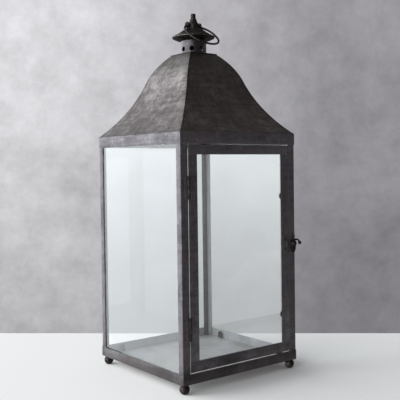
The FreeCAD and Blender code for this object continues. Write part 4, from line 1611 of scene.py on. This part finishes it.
class LANTERN_OT_latch_keeper(bpy.types.Operator):
    """Makes the keeper on the door with the rib that the tail locks over"""

    bl_idname = "lantern.latch_keeper"
    bl_label = "Latch keeper"

    def execute(self, context):
        rib_half, rib_width, rib_inset = 4.5 * MM, 3 * MM, 0.8 * MM
        low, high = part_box("latch_keeper")
        keeper = block((low.x, PLATE_Y, low.z), high)
        round_edges(LATCH_ROUND)
        clear_bench()
        edge = high.x - rib_inset
        rib = block(
            (edge - rib_width, low.y, LATCH_AXIS.z - rib_half),
            (edge, PLATE_Y + 0.4 * MM, LATCH_AXIS.z + rib_half),
        )
        round_edges(LATCH_ROUND)
        combine(keeper, rib, "UNION")
        complete(keeper, ["latch_keeper"], "plate_iron")
        return {"FINISHED"}


# Stage
class LANTERN_OT_stage(bpy.types.Operator):
    """Sets the table, the pale wall, the window light and the camera"""

    bl_idname = "lantern.stage"
    bl_label = "Stage"

    def table(self, stage):
        half_width, near, far, thick = 1.6, -2.2, 0.2581, 0.04
        top = block((-half_width, near, -thick), (half_width, far, 0))
        round_edges(2 * MM)
        moved(top, (0, 0, -stage.camera_turn - stage.table_turn))
        top.name = "table_top"
        material, finish = begin_finish("white_table")
        worn = (0.7, 0.69, 0.68, 1)
        specks = finish.noise(finish.place(), scale=3, detail=4)
        pale = finish.mix(specks * 0.12, colour(stage.table), worn)
        finish.surface({"Base Color": pale, "Roughness": 0.8, "Specular IOR Level": 0.12})
        top.data.materials.append(material)
        top.visible_glossy = False

    def world(self, stage):
        world = bpy.data.worlds.new("studio")
        bpy.context.scene.world = world
        world.use_nodes = True
        finish = Finish(world.node_tree)
        direction = finish.node("TexCoord", output="Generated")
        east, north = math.sin(stage.camera_turn), math.cos(stage.camera_turn)
        across = finish.dot(direction, (north, -east, 0))
        depth = finish.dot(direction, (east, north, 0))
        height = finish.node("SeparateXYZ", None, {0: direction}, output="Z")
        facing = finish.dot(direction, stage.window_aim)
        path = finish.node("LightPath", output="Is Camera Ray")
        through = finish.other(path, "Is Transmission Ray")
        mirrored = finish.other(path, "Is Singular Ray")

        # The wall that the camera sees: mottled plaster, darker to the right and downwards
        clouds = finish.noise(direction, scale=4, detail=6, roughness=0.62, distortion=0.6)
        plaster = finish.noise(direction, scale=26, detail=6, roughness=0.72)
        mottle = clouds * 0.9 + plaster * 0.7 + 0.2
        share = finish.between(across + (clouds - 0.5) * 0.4, -0.2, 0.2)
        wall = finish.mix(share, colour(stage.wall_left), colour(stage.wall_right))
        wall = finish.scaled(wall, finish.between(height, -0.3, 0.2, 0.72, 1.08) * mottle)

        # The light: a broad window, which the glass mirrors only in a narrow upright strip
        window, glint_top = stage.window, stage.window_glint
        glint_foot, aside = 0.66 * glint_top, 0.9
        strip = abs(finish.dot(direction, (north, east, 0)))
        narrow = finish.between(strip, 0.15, 0.32, 1, 0)
        plain = finish.between(height, -0.45, 0.05, 0.3 * window, window)
        plain = plain * finish.between(height, 0.35, 0.95, 1, 0.42)
        glint = finish.between(height, -0.3, 0.06, glint_foot, glint_top)
        glint = narrow * (glint - aside) + aside
        glow = finish.between(facing, 0.0, 0.75) * (plain + mirrored * (glint - plain))
        bounce = finish.between(height, -0.12, -0.5) * 0.3
        veil = finish.between(depth, 0.3, -0.2) * finish.between(height, -0.2, 0.0, 0.65, 1.5)
        bare = finish.between(depth, -0.3, 0.5, stage.room, stage.back) + bounce
        room = finish.scaled((1, 1, 1), bare + mirrored * veil)
        daylight = finish.scaled(stage.window_tint, glow)
        light = finish.node("VectorMath", {"operation": "ADD"}, {0: room, 1: daylight})

        # The pale backdrop that shows through the glass
        front = 0.8
        level = finish.between(height, -0.24, 0.05, 0.44, 0.62) * (mottle * 0.4 + 0.6)
        level = level + finish.between(depth, 0.1, -0.15) * (front - level)
        beside = finish.between(facing, 0.3, 0.75) * narrow
        beyond = finish.between(height, -0.12, 0.06, 0.9, glint_foot)
        pale = finish.scaled(stage.glare, level + beside * (beyond - level))

        seen = finish.node("Background", None, {"Color": wall})
        glazed = finish.node("Background", None, {"Color": pale})
        lit = finish.node("Background", None, {"Color": light})
        shown = finish.node("MixShader", None, {0: path, 1: lit, 2: seen})
        mixed = finish.node("MixShader", None, {0: through, 1: shown, 2: glazed})
        finish.node("OutputWorld", None, {"Surface": mixed})

    def lamp(self, name, place, size, power):
        data = bpy.data.lights.new(name, "AREA")
        data.shape = "RECTANGLE"
        data.size, data.size_y = size
        data.energy = power
        lamp = bpy.data.objects.new(name, data)
        bpy.context.scene.collection.objects.link(lamp)
        lamp.location = place
        target = Vector((0, 0, 0.3))
        lamp.rotation_euler = (target - Vector(place)).to_track_quat("-Z", "Y").to_euler()
        lamp.visible_camera = False
        lamp.visible_transmission = False
        lamp.visible_glossy = False

    def camera(self, stage):
        yaw, tilt, roll = stage.camera_turn, stage.camera_tilt, stage.camera_roll
        ahead = Vector((math.sin(yaw), math.cos(yaw), 0))
        forward = math.cos(tilt) * ahead + math.sin(tilt) * Vector((0, 0, 1))
        level = Vector((math.cos(yaw), -math.sin(yaw), 0))
        upright = level.cross(forward)
        right = math.cos(roll) * level + math.sin(roll) * upright
        up = math.cos(roll) * upright - math.sin(roll) * level
        data = bpy.data.cameras.new("camera")
        data.lens = stage.lens
        data.sensor_width = 36
        data.shift_y = stage.shift
        camera = bpy.data.objects.new("camera", data)
        bpy.context.scene.collection.objects.link(camera)
        turned = Matrix((right, up, -forward)).transposed().to_4x4()
        camera.matrix_world = Matrix.Translation(stage.camera_place) @ turned
        bpy.context.scene.camera = camera

    def execute(self, context):
        stage = context.scene.lantern_stage
        context.scene.view_settings.view_transform = "Standard"
        self.table(stage)
        self.world(stage)
        self.lamp("window_lamp", (-2.7, 1.5, 1.6), (2.2, 1.8), stage.window_lamp)
        self.lamp("top_lamp", (0.3, -0.2, 1.9), (2.2, 2.2), stage.top_lamp)
        self.camera(stage)
        return {"FINISHED"}


class LANTERN_OT_hidden_parts(bpy.types.Operator):
    """Gives the nodes that stay as they are their finish"""

    bl_idname = "lantern.hidden_parts"
    bl_label = "Hidden parts"

    def execute(self, context):
        node = frame["nodes"]["finial_screw"]
        node.data.materials.clear()
        node.data.materials.append(finish_named("dark_iron"))
        return {"FINISHED"}


STEPS = (
    LANTERN_OT_stage,
    LANTERN_OT_tray,
    LANTERN_OT_foot_screws,
    LANTERN_OT_feet,
    LANTERN_OT_strips,
    LANTERN_OT_rail_rivets,
    LANTERN_OT_posts,
    LANTERN_OT_fixed_panes,
    LANTERN_OT_pane_tabs,
    LANTERN_OT_roof_panels,
    LANTERN_OT_roof_plate,
    LANTERN_OT_vent_collar,
    LANTERN_OT_smoke_cap,
    LANTERN_OT_finial,
    LANTERN_OT_bail_studs,
    LANTERN_OT_bail,
    LANTERN_OT_door_frame,
    LANTERN_OT_door_glass,
    LANTERN_OT_door_clips,
    LANTERN_OT_hinges,
    LANTERN_OT_hinge_rivets,
    LANTERN_OT_latch_plate,
    LANTERN_OT_latch_screws,
    LANTERN_OT_latch_pivot,
    LANTERN_OT_latch_lever,
    LANTERN_OT_latch_keeper,
    LANTERN_OT_hidden_parts,
)


class LANTERN_PT_sidebar(bpy.types.Panel):
    bl_label = "Candle Lantern"
    bl_idname = "LANTERN_PT_sidebar"
    bl_space_type = "VIEW_3D"
    bl_region_type = "UI"
    bl_category = "Lantern"

    def draw(self, context):
        for step in STEPS:
            self.layout.operator(step.bl_idname)


GROUPS = {
    "lantern_sizes": LanternSizes,
    "lantern_colours": LanternColours,
    "lantern_stage": LanternStage,
}


def register():
    for group in (*GROUPS.values(), *STEPS, LANTERN_PT_sidebar):
        bpy.utils.register_class(group)
    for name, group in GROUPS.items():
        setattr(bpy.types.Scene, name, PointerProperty(type=group))


def unregister():
    for name in GROUPS:
        delattr(bpy.types.Scene, name)
    for group in reversed((*GROUPS.values(), *STEPS, LANTERN_PT_sidebar)):
        bpy.utils.unregister_class(group)


def main():
    register()
    for step in STEPS:
        area, name = step.bl_idname.split(".")
        getattr(getattr(bpy.ops, area), name)()
    clear_bench()


if __name__ == "__main__":
    main()
